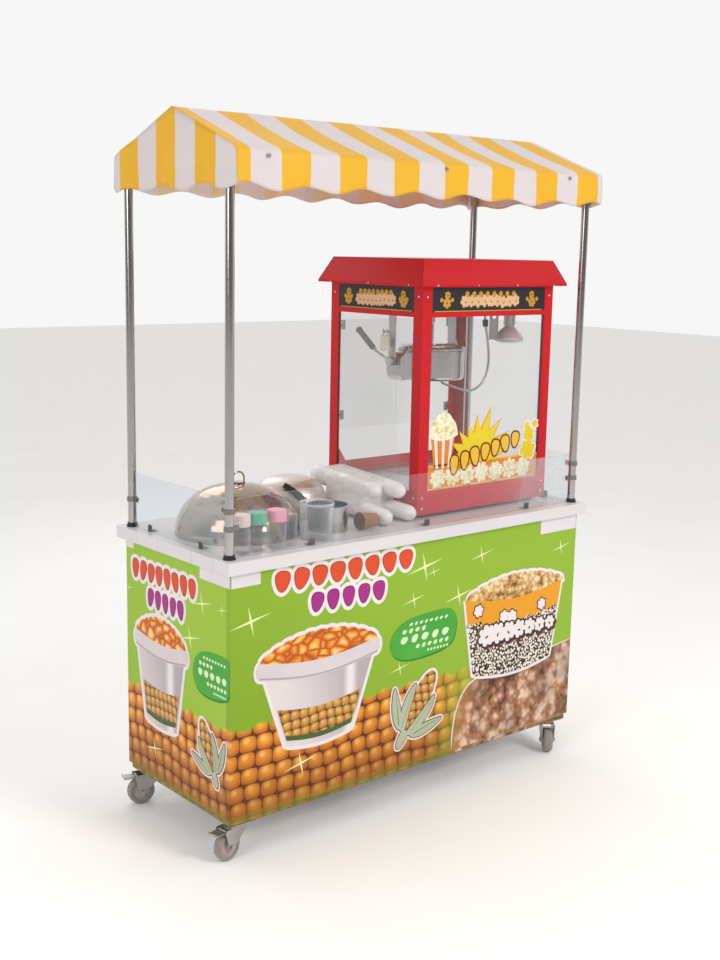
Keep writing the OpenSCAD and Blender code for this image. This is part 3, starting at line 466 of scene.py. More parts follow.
def popcorn_picture(name, scale, *codes):
    return picture_print(name, lambda s: popcorn_print(s, scale, *codes))


# ---- meshes ----

def piece(name, points, faces, finish, slot, body="root", smooth=False):
    """A new shown piece with its points in the row frame; body is None for one that is attached to no body.
    """
    mesh = bpy.data.meshes.new(name)
    mesh.from_pydata([tuple(p) for p in points], [], faces)
    mesh.validate()
    for material in finish if isinstance(finish, list) else [finish]:
        mesh.materials.append(material)
    work = bmesh.new()
    work.from_mesh(mesh)
    bmesh.ops.recalc_face_normals(work, faces=work.faces)
    work.to_mesh(mesh)
    work.free()
    mesh.polygons.foreach_set("use_smooth", [smooth] * len(mesh.polygons))
    made = bpy.data.objects.new(name, mesh)
    bpy.context.scene.collection.objects.link(made)
    if body:
        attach(made, body)
    return made


def lathe(centre, axis, profile, sides=48):
    """Points and faces of a profile of (radius, height) turned about an axis; a radius of 0 closes it."""
    spin = Vector(axis).normalized().to_track_quat("Z", "Y").to_matrix()
    points, rings = [], []
    for radius, height in profile:
        count = 1 if radius == 0 else sides
        rings.append(list(range(len(points), len(points) + count)))
        for k in range(count):
            turn = TURN * k / sides
            spot = Vector((radius * math.cos(turn), radius * math.sin(turn), height))
            points.append(Vector(centre) + spin @ spot)
    faces = []
    for low, high in zip(rings, rings[1:]):
        for k in range(sides):
            a, b = low[k % len(low)], low[(k + 1) % len(low)]
            c, d = high[(k + 1) % len(high)], high[k % len(high)]
            corners = list(dict.fromkeys((a, b, c, d)))
            if len(corners) > 2:
                faces.append(corners)
    return points, faces


def tube_faces(points, sides):
    """Faces round a row of rings of points, with a cap at each end."""
    faces = []
    for start in range(0, len(points) - sides, sides):
        for k in range(sides):
            a, b = start + k, start + (k + 1) % sides
            faces.append([a, b, b + sides, a + sides])
    return faces + [list(range(sides)), list(range(len(points) - sides, len(points)))[::-1]]


def gather(parts):
    """Joins several (points, faces) into one."""
    points, faces = [], []
    for more_points, more_faces in parts:
        start = len(points)
        points += more_points
        faces += [[start + i for i in face] for face in more_faces]
    return points, faces


def box_mesh(low, high, bevel=0.0):
    """A box with cut corners along its upright and level edges."""
    work = bmesh.new()
    bmesh.ops.create_cube(work, size=1.0)
    for vertex in work.verts:
        vertex.co = [low[i] + (vertex.co[i] + 0.5) * (high[i] - low[i]) for i in range(3)]
    if bevel:
        bmesh.ops.bevel(work, geom=work.edges[:], offset=bevel, segments=2, affect="EDGES", profile=0.5)
    points = [vertex.co.copy() for vertex in work.verts]
    faces = [[vertex.index for vertex in face.verts] for face in work.faces]
    work.free()
    return points, faces


class Wall:
    """A flat upright face of the cart that carries printed film, in layers of one thickness."""
    FILM = 0.3

    def __init__(self, tag, origin, across, slot="printed_panel"):
        self.tag = tag
        self.origin = Vector(origin)
        self.across = Vector(across)
        self.out = self.across.cross(UP)
        self.slot = slot

    def at(self, u, v, lift):
        """The point at u, v and lift millimetres off the face, in metres."""
        return self.origin + (self.across * u + UP * v + self.out * lift) * MM

    def film(self, outlines, layer):
        """Points and faces of one closed film over the union of some outlines of (u, v) millimetres."""
        low, high = self.FILM * (layer - 1) + 0.02, self.FILM * layer
        marks, runs = [], []
        for outline in outlines:
            start, count = len(marks), len(outline)
            marks += [Vector(p) for p in outline]
            runs += [(start + k, start + (k + 1) % count) for k in range(count)]
        spots, _, triangles, *_ = delaunay_2d_cdt(marks, runs, [], 0, 1e-4)
        kept = [t for t in triangles if any(within(o, sum((spots[i] for i in t), Vector((0, 0))) / 3)
                                            for o in outlines)]
        used = {i: k for k, i in enumerate(sorted({i for t in kept for i in t}))}
        count = len(used)
        points = [self.at(*spots[i], lift) for lift in (high, low) for i in used]
        top = [[used[i] for i in t] for t in kept]
        under = [[i + count for i in reversed(t)] for t in top]
        edges = {(t[k], t[(k + 1) % 3]) for t in top for k in range(3)}
        rim = [[b, a, a + count, b + count] for a, b in sorted(edges) if (b, a) not in edges]
        return points, top + under + rim

    def print(self, name, outlines, layer, finish):
        """One piece of film with one finish."""
        piece(self.tag + "_" + name, *self.film(outlines, layer), finish, self.slot)


# ---- outlines, in millimetres on a wall ----

def within(outline, spot):
    """Whether a point lies within an outline that may cross itself."""
    turns, area = 0, 0.0
    for (a, b), (c, d) in zip(outline, outline[1:] + outline[:1]):
        side = (c - a) * (spot.y - b) - (spot.x - a) * (d - b)
        if b <= spot.y < d and side > 0:
            turns += 1
        elif d <= spot.y < b and side < 0:
            turns -= 1
        area += a * d - c * b
    return turns * area > 0


def rounded(points, rounds=3):
    """Cuts the corners of a closed outline again and again until it is smooth."""
    for _ in range(rounds):
        cut = []
        for (a, b), (c, d) in zip(points, points[1:] + points[:1]):
            cut += [(a * 0.75 + c * 0.25, b * 0.75 + d * 0.25), (a * 0.25 + c * 0.75, b * 0.25 + d * 0.75)]
        points = cut
    return points


def block(u0, v0, u1, v1):
    return [(u0, v0), (u1, v0), (u1, v1), (u0, v1)]


def oval(u, v, wide, high, steps=40):
    turns = [math.radians(360 * k / steps) for k in range(steps)]
    return [(u + wide * math.cos(turn), v + high * math.sin(turn)) for turn in turns]


def grown(outline, by):
    """The outline moved outwards by a distance, for a white surround."""
    area = sum(a * d - c * b for (a, b), (c, d) in zip(outline, outline[1:] + outline[:1]))
    side = 1 if area > 0 else -1
    moved = []
    for i, (u, v) in enumerate(outline):
        before, after = outline[i - 1], outline[(i + 1) % len(outline)]
        run = Vector((after[0] - before[0], after[1] - before[1]))
        if run.length < 1e-6:
            continue
        run.normalize()
        moved.append((u + run.y * by * side, v - run.x * by * side))
    return moved


def sparkle(u, v, size):
    """A leaning star of four thin rays, two long and two short."""
    points = []
    for k in range(8):
        turn = math.radians(12 + 45 * k)
        reach = size * (0.07 if k % 2 else (1.0 if k % 4 == 0 else 0.62))
        points.append((u + reach * math.cos(turn), v + reach * math.sin(turn)))
    return points


def puff(u, v, size, seed, lobes=6):
    """The outline of one popped kernel."""
    draw = random.Random(seed)
    sizes = [draw.uniform(0.8, 1.1) for _ in range(lobes)]
    start = draw.uniform(0, TURN)
    points = []
    for k in range(lobes * 7):
        turn = k / (lobes * 7)
        lobe = int(turn * lobes)
        bulge = math.sin(math.pi * (turn * lobes - lobe)) ** 0.7
        reach = size * (0.7 + 0.32 * bulge * sizes[lobe])
        way = start + TURN * turn
        points.append((u + reach * math.cos(way), v + reach * math.sin(way)))
    return points


def puffs(spots, grow=0):
    """Popped kernels at (u, v, size) spots, each grown by a margin."""
    return [puff(u, v, size + grow, i) for i, (u, v, size) in enumerate(spots)]


def turned(outline, u, v, degrees):
    """The outline turned about a point."""
    c, s = math.cos(math.radians(degrees)), math.sin(math.radians(degrees))
    return [(u + (a - u) * c - (b - v) * s, v + (a - u) * s + (b - v) * c) for a, b in outline]


def heap(u0, u1, v, height, bumps, seed, sag=14):
    """A heap with a bumpy top over a foot that sags in its middle."""
    draw = random.Random(seed)
    points = []
    for k in range(bumps * 6 + 1):
        t = k / (bumps * 6)
        bump = abs(math.sin(math.pi * bumps * t)) ** 0.6 * draw.uniform(0.055, 0.075)
        points.append((u1 + (u0 - u1) * t, v + height * (math.sin(math.pi * t) ** 0.62 * 0.93 + bump)))
    foot = [(u0 + (u1 - u0) * k / 16, v - sag * math.sin(math.pi * k / 16)) for k in range(1, 16)]
    return points + foot


def kernel_row(u0, u1, v, rise, high, count, seed, last=None):
    """Plump kernel shapes side by side along a rising line; last is the height of the final one."""
    draw = random.Random(seed)
    pitch = (u1 - u0) / count
    shapes = []
    for k in range(count):
        share = (k + 0.5) / count
        u, w = u0 + pitch * (k + 0.5), v + rise * share
        tall = (high + ((last or high) - high) * share) / 2 * draw.uniform(0.9, 1.0)
        half = pitch * draw.uniform(0.40, 0.45)
        corners = [(-0.4, -1), (0.4, -1), (1, 0.25), (0.7, 1), (-0.7, 1), (-1, 0.25)]
        drop = [(u + half * a, w + tall * b) for a, b in corners]
        shapes.append(turned(rounded(drop), u, w, draw.uniform(-14, 14)))
    return shapes


def seed_leaf(u, v, long, half, tilt):
    """A small pointed leaf."""
    blade = [(u - long / 2, v), (u - long * 0.1, v - half), (u + long / 2, v), (u - long * 0.1, v + half)]
    return turned(rounded(blade), u, v, tilt)


def bowed(a, b, v, sag, inner=0):
    """Points from a to b that sag in the middle; inner leaves out that many at each end."""
    spots = [k / 20 for k in range(inner, 21 - inner)]
    return [(a + (b - a) * t, v - sag * abs(b - a) * math.sin(math.pi * t)) for t in spots]


def vessel_band(shape, low, high, inset=0):
    """The part of a drawn round vessel between two heights, whose edges sag in the middle."""
    foot_l, foot_r, foot_v, rim_l, rim_r, rim_v, sag = shape

    def edge(v):
        share = (v - foot_v) / (rim_v - foot_v)
        return foot_l + (rim_l - foot_l) * share + inset, foot_r + (rim_r - foot_r) * share - inset
    (a, b), (c, d) = edge(low), edge(high)
    return bowed(a, b, low, sag) + bowed(d, c, high, sag)


def rolled_rim(shape, thick, bulge):
    """The rolled rim of a drawn round vessel, with soft ends."""
    rim_l, rim_r, rim_v, sag = shape[3:]
    mid, half = rim_v - thick / 2, thick / 2
    ends = [(math.cos(math.pi * (k / 8 - 0.5)), math.sin(math.pi * (k / 8 - 0.5))) for k in range(9)]
    right = [(rim_r + bulge * a, mid + half * b) for a, b in ends]
    left = [(rim_l - bulge * a, mid - half * b) for a, b in ends]
    top, under = bowed(rim_r, rim_l, rim_v, sag, 1), bowed(rim_l, rim_r, rim_v - thick, sag, 1)
    return right + top + left + under


# ---- the printed artwork ----

INKS = {
    "white": ("print_white", "F1E9E8", "E9E0E2"),
    "sparkle": ("print_sparkle", "F4F3C0", "E6EEA0"),
    "orange": ("print_orange_red", "E2521F", "D9441C"),
    "magenta": ("print_magenta", "B02A8C", "9C1F7C"),
    "orange_edge": ("print_orange_edge", "8E2A16", "7C2412"),
    "magenta_edge": ("print_magenta_edge", "5E1250", "520E46"),
    "rim": ("print_cup_rim", "E3D9DC", "D2C7CB"),
    "rim_line": ("print_cup_rim_line", "B9AEB2", "ABA0A5"),
    "ink": ("print_ink", "2A1712", "23120E"),
    "maroon": ("print_maroon", "6E1C2A", "5E1622"),
    "deep_husk": ("print_deep_husk", "4F6B30", "3F5A26"),
    "leaf": ("print_leaf_green", "2F9A2E", "57B33A"),
    "deep_leaf": ("print_deep_green", "1C7A26", "2A8A2C"),
    "pale_leaf": ("print_pale_leaf", "E4F2CF", "D2E8B8"),
    "husk": ("print_husk", "C3C9AE", "9FAA86"),
    "brown": ("print_brown", "5A2416", "6B2C18"),
    "amber": ("print_amber", "EFA418", "E3930F"),
    "sticker": ("sticker_white", "E9E3E8", "DDD7DF"),
}


def art_finishes():
    """Printed colours and pictures shared by the walls."""
    art = {key: flat_print(*ink) for key, ink in INKS.items()}
    art["kernels"] = picture_print("print_kernel_heap", lambda s: loose_kernels(s, 30))
    art["popcorn"] = popcorn_picture("print_popcorn_heap", 60, "F1DEB4", "CDA058", "7A4A22")
    art["close_view"] = popcorn_photo()
    return art


def cob_print(name, u_axis, u_sign, pitch, row):
    """Small rows of kernels over a strip of green, as printed on the cups."""
    shade = Shade(name, Coat_Weight=0.2, Roughness=0.35)
    axes = shade.axes()
    tones = ("4A2A08", "B4741A", "E0A63A", "F0C468")
    shade.set(Base_Color=kernel_print(shade, axes[u_axis] * u_sign, axes[2], pitch, row, *tones))
    return shade.material


def cup_paper(name, u_axis, u_sign, gleam):
    """Grey-white card that is shaded to one side and carries an upright gleam."""
    shade = Shade(name, Specular_IOR_Level=0.3, Roughness=0.4)
    axes = shade.axes()
    u = axes[u_axis] * u_sign
    tone = shade.mix((u + axes[2] * 0.3).above(gleam + 0.03, 0.16), "E4DADC", "B5ABAF")
    beam = (u - gleam).abs().above(0.016, 0.014) * -1 + 1
    shade.tint(beam * 0.8, tone, "F7F2F2")
    return shade.material


def corn_cup(wall, art, cob, paper, shape, patch):
    """A paper cup heaped with corn, with a print of a cob on it."""
    foot_v, rim_l, rim_r, rim_v, sag = shape[2:]
    rim_h, low = 46, rim_v - 46
    mound = heap(rim_l - 4, rim_r + 4, rim_v - 5, 66, 11, 5, sag * (rim_r - rim_l))
    body = vessel_band(shape, foot_v, low + 6)
    rim = rolled_rim(shape, rim_h, 12)
    line = (rim_l - 2, rim_r + 2, low, rim_l - 2, rim_r + 2, rim_v, sag)
    wall.print("cup_surround", [grown(body, 11), grown(mound, 11), grown(rim, 9)], 1, art["white"])
    wall.print("cup_body", [body], 2, paper)
    wall.print("cup_kernels", [mound], 3, art["kernels"])
    wall.print("cup_rim", [rim], 4, art["rim"])
    wall.print("cup_rim_line", [vessel_band(line, low + 2, low + 7)], 5, art["rim_line"])
    wall.print("cup_cob", [vessel_band(shape, *patch, 7)], 4, cob)
    wall.print("cup_husk", [vessel_band(shape, patch[0], patch[0] + 15, 7)], 5, art["deep_husk"])


BADGE = [(-1, 0.2), (-0.6, 0.85), (0.3, 1), (1, 0.95), (1, -0.5), (0.55, -0.9), (-0.5, -1), (-0.95, -0.6)]
BADGE_ROWS = [(0.62, -0.45, 0.75, 0.13, 8), (0.34, -0.66, 0.1, 0.2, 4), (-0.03, -0.72, 0.82, 0.34, 5),
              (-0.42, -0.25, 0.8, 0.19, 6), (-0.70, 0.1, 0.78, 0.12, 7)]  # height, start, stop, size, count


def leaf_badge(wall, art, u, v, wide, high, edge=math.inf):
    """A leaf-shaped badge with rows of small leaves, kept short of the wall's edge."""
    outline = rounded([(u + wide * a, v + high * b) for a, b in BADGE])
    leaves = []
    for height, start, stop, size, count in BADGE_ROWS:
        step = (stop - start) / count
        for k in range(count):
            along = u + wide * (start + step * (k + 0.5))
            blade = (wide * step * 0.95, high * size * 0.62, 22 + 20 * (k % 2))
            leaves.append(seed_leaf(along, v + high * height, *blade))
    shapes = [[(a + 3, b - 6) for a, b in outline], outline, *leaves]
    shapes = [[(min(a, edge), b) for a, b in s] for s in shapes if min(a for a, b in s) < edge - 4]
    wall.print("badge_shadow", shapes[:1], 2, art["deep_leaf"])
    wall.print("badge", shapes[1:2], 3, art["leaf"])
    wall.print("badge_leaves", shapes[2:], 4, art["pale_leaf"])


INNER_HUSK = [(0.02, -0.62), (0.16, -0.66), (0.36, -0.30), (0.40, 0.10), (0.30, 0.40), (0.20, 0.02),
              (0.10, -0.36)]
OUTER_HUSK = [(0.10, -0.66), (0.34, -0.62), (0.62, -0.36), (0.84, 0.08), (0.56, -0.12), (0.32, -0.32)]
STALK = [(-0.12, -0.58), (0.12, -0.58), (0.08, -0.98), (-0.08, -0.98)]
VEINS = [[(0.14, -0.572), (0.31, 0.218), (0.31, 0.222), (0.14, -0.548)],
         [(0.24, -0.572), (0.70, -0.052), (0.70, -0.048), (0.24, -0.548)]]


def corn_figure(wall, art, cob, u, v, size, tilt):
    """A corn cob between pale husk leaves, in place of the drawn figure."""
    def place(outline, side=1):
        return turned([(u + side * size * a, v + size * b) for a, b in outline], u, v, tilt)
    body = turned(oval(u, v + size * 0.06, size * 0.25, size * 0.66), u, v, tilt)
    stalk = place(rounded(STALK, 2))
    husks = [place(rounded(s), side) for side in (-1, 1) for s in (INNER_HUSK, OUTER_HUSK)]
    veins = [place(s, side) for side in (-1, 1) for s in VEINS]
    wall.print("figure_surround", [grown(s, 8) for s in (body, stalk, *husks)], 4, art["white"])
    wall.print("figure_cob", [body], 5, cob)
    wall.print("figure_husk_edge", [grown(s, 2.5) for s in (stalk, *husks)], 6, art["brown"])
    wall.print("figure_husk", [stalk, *husks], 7, art["husk"])
    wall.print("figure_veins", veins, 8, art["deep_husk"])


def popcorn_bucket(wall, art, dots, shape, amber_v):
    """A round tub heaped with popcorn: amber above, dotted below, a row of white kernels across."""
    foot_v, rim_l, rim_r, rim_v, sag = shape[2:]
    mound = heap(rim_l + 4, rim_r + 12, rim_v - 2, 56, 10, 11, sag * (rim_r - rim_l))
    whole = vessel_band(shape, foot_v, rim_v)
    wall.print("tub_surround", [grown(whole, 9), grown(mound, 9)], 1, art["white"])
    wall.print("tub_popcorn", [mound], 2, art["popcorn"])
    wall.print("tub_dots", [vessel_band(shape, foot_v, amber_v + 2)], 2, dots)
    wall.print("tub_amber", [vessel_band(shape, amber_v, rim_v)], 3, art["amber"])
    edge_v = [amber_v - 26 * math.sin(math.pi * k / 17) + 4 * (k % 3) for k in range(17)]
    wall.print("tub_fringe", puffs([(rim_l + 20 + 24 * k, v, 11) for k, v in enumerate(edge_v)]), 4, dots)
    spots = [(rim_l + 58, rim_v - 42, 20), (rim_l + 172, rim_v - 78, 20), (rim_l + 208, rim_v - 84, 22),
             (rim_r - 92, rim_v - 66, 19)]
    wall.print("tub_puff_edges", puffs(spots, 5), 5, art["brown"])
    wall.print("tub_puffs", puffs(spots), 6, art["white"])
    row = [puff(rim_l + 98 + 48 * k, foot_v + 120 - k, 37 - 2.4 * k, 40 + k, 7) for k in range(7)]
    wall.print("tub_row_shadow", [grown([(a + 7, b - 7) for a, b in s], 5) for s in row], 5, art["maroon"])
    wall.print("tub_row_edge", [grown(s, 5) for s in row], 6, art["ink"])
    wall.print("tub_row", row, 7, art["white"])
    dents = [seed_leaf(rim_l + 98 + 48 * k, foot_v + 116 - k, 20 - k, 4, 25 + 50 * k) for k in range(7)]
    wall.print("tub_row_dents", dents, 8, art["ink"])


def headline(wall, art, upper, lower):
    """Two rising rows of kernel shapes with white surrounds, where the cart carries its title."""
    rows = {"upper": (kernel_row(*upper), "orange"), "lower": (kernel_row(*lower), "magenta")}
    surround = [grown(s, 13) for row, _ in rows.values() for s in row]
    wall.print("title_surround", surround, 1, art["white"])
    for part, (row, ink) in rows.items():
        wall.print("title_" + part + "_edge", [grown(s, 2) for s in row], 2, art[ink + "_edge"])
        wall.print("title_" + part, row, 3, art[ink])


def popcorn_photo():
    """Close view of popcorn in warm browns and pinks, with a smooth amber flank at its left."""
    shade = Shade("print_popcorn_close", Specular_IOR_Level=0.3, Roughness=0.32)
    x, _, z = shade.axes()
    patch = shade.noise(7, 3)
    picture = popcorn_print(shade, 26, "F2D2B8", "AE7450", "46261A")
    picture = shade.mix((patch + x * 0.35 - 0.16).above(0.52, 0.14) * 0.6, picture, "573426")
    flank = (x - z * 0.25 + shade.noise(30, 3) * 0.06).above(0.175, 0.035) * -1 + 1
    shade.tint(flank * 0.75, picture, "B07C3C")
    return shade.material


def front_artwork(art, cob):
    wall = Wall("front", (0, FRONT_Y, 0), (1, 0, 0))
    headline(wall, art, (-540, -36, 757, -3, 60, 8, 3), (-418, -140, 682, -4, 56, 5, 9))
    paper = cup_paper("print_cup_front", 0, 1, -0.268)
    corn_cup(wall, art, cob, paper, (-492, -262, 292, -580, -172, 543, 0.06), (308, 402))
    leaf_badge(wall, art, 10, 514, 134, 68)
    corn_figure(wall, art, cob, -4, 306, 150, -34)
    arc = [(141, 124), (143, 160), (147, 200), (154, 236), (166, 268), (184, 297), (206, 317), (240, 332),
           (300, 345), (420, 352), (560, 364), (674, 378), (674, 124)]
    edge = [(min(a, 674.5), max(b, 123.5)) for a, b in grown(arc, 5)]
    wall.print("popcorn_close_edge", [edge], 1, art["white"])
    wall.print("popcorn_close", [arc], 2, art["close_view"])
    raised = Wall("front", (0, FRONT_Y - 2 * Wall.FILM * MM, 0), (1, 0, 0))
    dots = picture_print("print_tub_dots", lambda s: s.mix(s.cells(120).above(0.50, 0.06),
                                                           "EFE6D6", "33201A"))
    popcorn_bucket(raised, art, dots, (222, 570, 343, 178, 614, 590, 0.06), 504)
    stars = [(-610, 665, 70), (8, 721, 74), (-32, 628, 46), (-81, 430, 40), (243, 723, 50), (605, 698, 46),
             (44, 700, 30), (151, 610, 60), (-440, 231, 62)]
    wall.print("sparkles", [sparkle(*s) for s in stars], 1, art["sparkle"])
    strips = [block(-672, 762, -580, 800), block(505, 752, 672, 800)]
    wall.print("blank_stickers", strips, 1, art["sticker"])


def left_artwork(art, cob):
    wall = Wall("left", (-END_X, 0, 0), (0, -1, 0))
    headline(wall, art, (-232, 104, 722, 2, 58, 8, 3), (-150, 44, 652, -2, 54, 5, 9))
    paper = cup_paper("print_cup_left", 1, -1, -0.03)
    corn_cup(wall, art, cob, paper, (-160, 0, 290, -208, 48, 543, 0.06), (306, 402))
    leaf_badge(wall, art, 176, 508, 92, 66, 260)
    corn_figure(wall, art, cob, 160, 300, 112, 24)
    stars = [(130, 694, 52), (71, 585, 56), (-250, 655, 22), (224, 697, 26), (-116, 210, 50)]
    wall.print("sparkles", [sparkle(*s) for s in stars], 1, art["sparkle"])
    strips = [block(-260, 775, -222, 800), block(120, 762, 260, 800)]
    wall.print("blank_stickers", strips, 1, art["sticker"])


def sides_of(node, *tags):
    """A wall on each named side of a node, with the u at which each one starts and stops, in metres."""
    low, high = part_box(node)
    sides = {"front": ((0, low.y, 0), (1, 0, 0), low.x, high.x),
             "left": ((low.x, 0, 0), (0, -1, 0), -high.y, -low.y),
             "right": ((high.x, 0, 0), (0, 1, 0), low.y, high.y)}
    return [(tag, *sides[tag]) for tag in tags]


def popper_signs():
    """Popped corn on the black signs of the header, with a gold line under each."""
    low, high = (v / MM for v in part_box("sign_panels"))
    cream = flat_print("print_sign_cream", "E9C7A0", "D9A878")
    gold = flat_print("print_sign_gold", "D9A53A", "B98426")
    edge = flat_print("print_sign_edge", "8A5A22", "6B4018")
    z = (low.z + high.z) / 2
    for tag, origin, across, start, stop in sides_of("sign_panels", "front", "left", "right"):
        wall = Wall("sign_" + tag, origin, across, "sign_black")
        u, half = (start + stop) / 2 / MM, 218 if tag == "front" else 150
        draw = random.Random(len(tag))
        pile = []
        for k in range(9):
            pile.append((u - 0.56 * half + 1.12 * half * (k + 0.5) / 9, z - 5 + draw.uniform(-2, 2), 19))
        crown = [(u - 0.46 * half + 0.92 * half * k / 7, z + 17, 9) for k in range(8)]
        ends = [(u + side * 0.84 * half, z - 9, 17) for side in (-1, 1)]
        heads = [(u + side * 0.83 * half, z + 14, 12) for side in (-1, 1)]
        hands = [(u + side * half * (0.84 + lean), z, 7) for side in (-1, 1) for lean in (-0.1, 0.1)]
        dents = [seed_leaf(a + 3, b - 3, 13, 2.2, 40 * i) for i, (a, b, _) in enumerate(pile)]
        wall.print("puff_edges", puffs(pile, 2.5), 1, edge)
        wall.print("puffs", puffs(pile), 2, cream)
        wall.print("puff_dents", dents, 3, edge)
        wall.print("crown", puffs(crown + ends + heads + hands), 3, gold)
        wall.print("buttons", [seed_leaf(a, b, 9, 3, 90) for a, b, _ in ends + heads], 4, edge)
        wall.print("gold_line", [block(u - half - 14, low.z + 1, u + half + 14, low.z + 4)], 1, gold)


BURST = [132, 80, 124, 76, 116, 74, 112, 78, 130, 86, 160, 92, 148, 84, 152, 82, 134, 74, 130, 70]


def glass_decal(art):
    """Film on the popper's front window: a band of popcorn, a burst, a striped box and a row of kernels."""
    low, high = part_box("popper_windows")
    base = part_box("popper_base")[1].z / MM
    wall = Wall("decal", (0, low.y, 0), (1, 0, 0), "acrylic")
    left, right = low.x / MM + 40, high.x / MM - 40
    orange = flat_print("print_decal_orange", "E8912A", "E07F1E")
    gold = flat_print("print_decal_gold", "F5C542", "EDB52C")
    lemon = flat_print("print_decal_lemon", "EBD52C", "E4C81F")
    cream = popcorn_picture("print_decal_popcorn", 95, "FAF8E8", "EFE6B8", "D3BE74")
    burst = []
    for k, reach in enumerate(BURST):
        turn = math.radians(176 - k * 10.6)
        tip_v = base + 84 + reach * math.sin(turn)
        burst.append((left + 205 + reach * math.cos(turn) * 0.98, max(tip_v, base + 60)))
    wall.print("burst_edge", [[(a, max(b, base + 56)) for a, b in grown(burst, 6)]], 1, orange)
    wall.print("burst", [burst], 2, lemon)
    wall.print("band", [block(left, base + 6, right, base + 72)], 3, orange)
    wall.print("lines", [block(left, base + v, right, base + v + 5) for v in (2, 72)], 4, gold)
    row = [puff(left + 40 + k * 62, base + 35 + 3 * (k % 2), 33, k, 8) for k in range(7)]
    row = [[(min(max(a, left + 2), right - 2), b) for a, b in s] for s in row]
    wall.print("puff_row", row, 4, cream)
    box_u, box_v = left + 56, base + 62
    top_v = box_v + 104
    carton = [(box_u - 34, box_v), (box_u + 34, box_v), (box_u + 52, top_v + 2), (box_u - 50, top_v + 2)]
    stripes = []
    for a, b in ((-26, -38), (-2, -4), (22, 30)):
        foot_u, rim_u = box_u + a, box_u + b
        stripes.append([(foot_u, box_v + 2), (foot_u + 9, box_v + 2), (rim_u + 13, top_v), (rim_u, top_v)])
    wall.print("carton", [carton], 4, orange)
    wall.print("carton_stripes", stripes, 5, art["white"])
    wall.print("carton_popcorn", [heap(box_u - 60, box_u + 62, top_v - 4, 74, 5, 3)], 6, cream)
    title = kernel_row(left + 84, right - 82, base + 66, 66, 62, 7, 4, 48)
    wall.print("title_edge", [grown(s, 5) for s in title], 5, art["brown"])
    wall.print("title", title, 6, gold)
    corner = [(right - 46, base + 92, 34), (right - 42, base + 140, 25), (right - 16, base + 172, 13),
              (right - 52, base + 168, 12)]
    wall.print("corner_surround", puffs(corner, 7), 5, art["white"])
    wall.print("corner_puffs", puffs(corner), 6, lemon)


# ---- canopy ----

EAVE_Z = 1.863
STRIPE = 0.1852  # one yellow and one white stripe
FRONT_STRIPE_START = -0.545
GABLE_STRIPE_START = -0.201
POST_X, POST_Y = 0.665, 0.243  # a post's axis from the cart's middle


def striped_cloth(name, yellow, white, rough):
    """Coated cloth with stripes set by the flat cut's own coordinate, u."""
    shade = Shade(name, Sheen_Weight=0.06, Sheen_Roughness=0.4)
    uv = shade.node("ShaderNodeUVMap", uv_map="cut")
    split = shade.node("ShaderNodeSeparateXYZ")
    shade.feed(split.inputs[0], uv.outputs[0])
    along = Value(shade, split.outputs[0])
    wave = along.part()
    is_white = (wave - 0.25).abs().above(0.25, 0.006)
    cloud = shade.noise(5, 4)
    first = shade.mix(cloud, *yellow)
    second = shade.mix(cloud, *white)
    shade.set(Base_Color=shade.mix(is_white, first, second), Roughness=cloud * 0.15 + rough)
    weave = shade.noise(700, 1) * 0.5 + shade.noise(24, 3)
    shade.bump(weave, 0.0012, 0.25)
    return shade.material


def scallop(along):
    """How far the wavy lower edge is raised at a place along it."""
    lobe = along / STRIPE
    wobble = noise.noise(Vector((along * 5.0, 3.7, 0)))
    return 0.0075 * (1 - math.cos(TURN * lobe)) + 0.010 * (wobble + 0.4)


def ruffle(x, y, down):
    """How far hanging cloth stands out at a share of its way down, in metres."""
    along = x + 1.7 * y
    fold = math.sin(TURN * along / 0.17 + 1.3) + 0.5 * math.sin(TURN * along / 0.071)
    crease = noise.noise(Vector((along * 9, down * 2.5, 1.0)))
    return down * (0.0028 * fold + 0.004 * crease)


def canopy_profile(half_w, ridge, foot):
    """(y, z) down the cloth from the back valance's foot over the ridge to the front valance's foot."""
    drops, slopes = 10, 26
    back = [(half_w, foot + (EAVE_Z - foot) * k / drops) for k in range(drops)]
    rise = [(half_w * (1 - k / slopes), EAVE_Z + (ridge - EAVE_Z) * k / slopes) for k in range(slopes)]
    line = back + rise + [(0, ridge)]
    for _ in range(2):
        threes = zip(line, line[1:], line[2:])
        mid = [tuple((a[i] + 2 * b[i] + c[i]) / 4 for i in (0, 1)) for a, b, c in threes]
        line = [line[0], *mid, line[-1]]
    return line + [(-y, z) for y, z in reversed(line[:-1])], drops


def hanging_place(spot, half_w, foot):
    """The cloth's place for a point of the plain shell: ruffled where it hangs, sagging where it slopes."""
    x, y, z = spot
    down = max(0.0, (EAVE_Z - z) / (EAVE_Z - foot))
    lift = scallop(x if abs(y) > half_w - 0.004 else y + 0.05) * down
    on_side = abs(y) > half_w - 0.02
    out = Vector((0, math.copysign(1, y), 0)) if on_side else Vector((math.copysign(1, x), 0, 0))
    stand = ruffle(x, y, down) * 0.9
    if not on_side:
        near_post = min(max(1.8 - abs(abs(y) - POST_Y) / 0.022, 0), 1)
        stand += near_post * (max(stand, 0.0024) - stand)
    place = Vector((x, y, z + lift)) - out * 0.0022 + out * stand
    if down <= 0 and abs(y) < half_w - 0.01:
        bay = math.sin(math.pi * abs(x) / POST_X) ** 2
        slope = abs(y) / half_w
        wrinkle = noise.noise(Vector((x * 6, y * 9, 5.0))) * 0.0015
        place.z -= 0.010 * bay * 4 * slope * (1 - slope) + 0.0012 - wrinkle
    return place


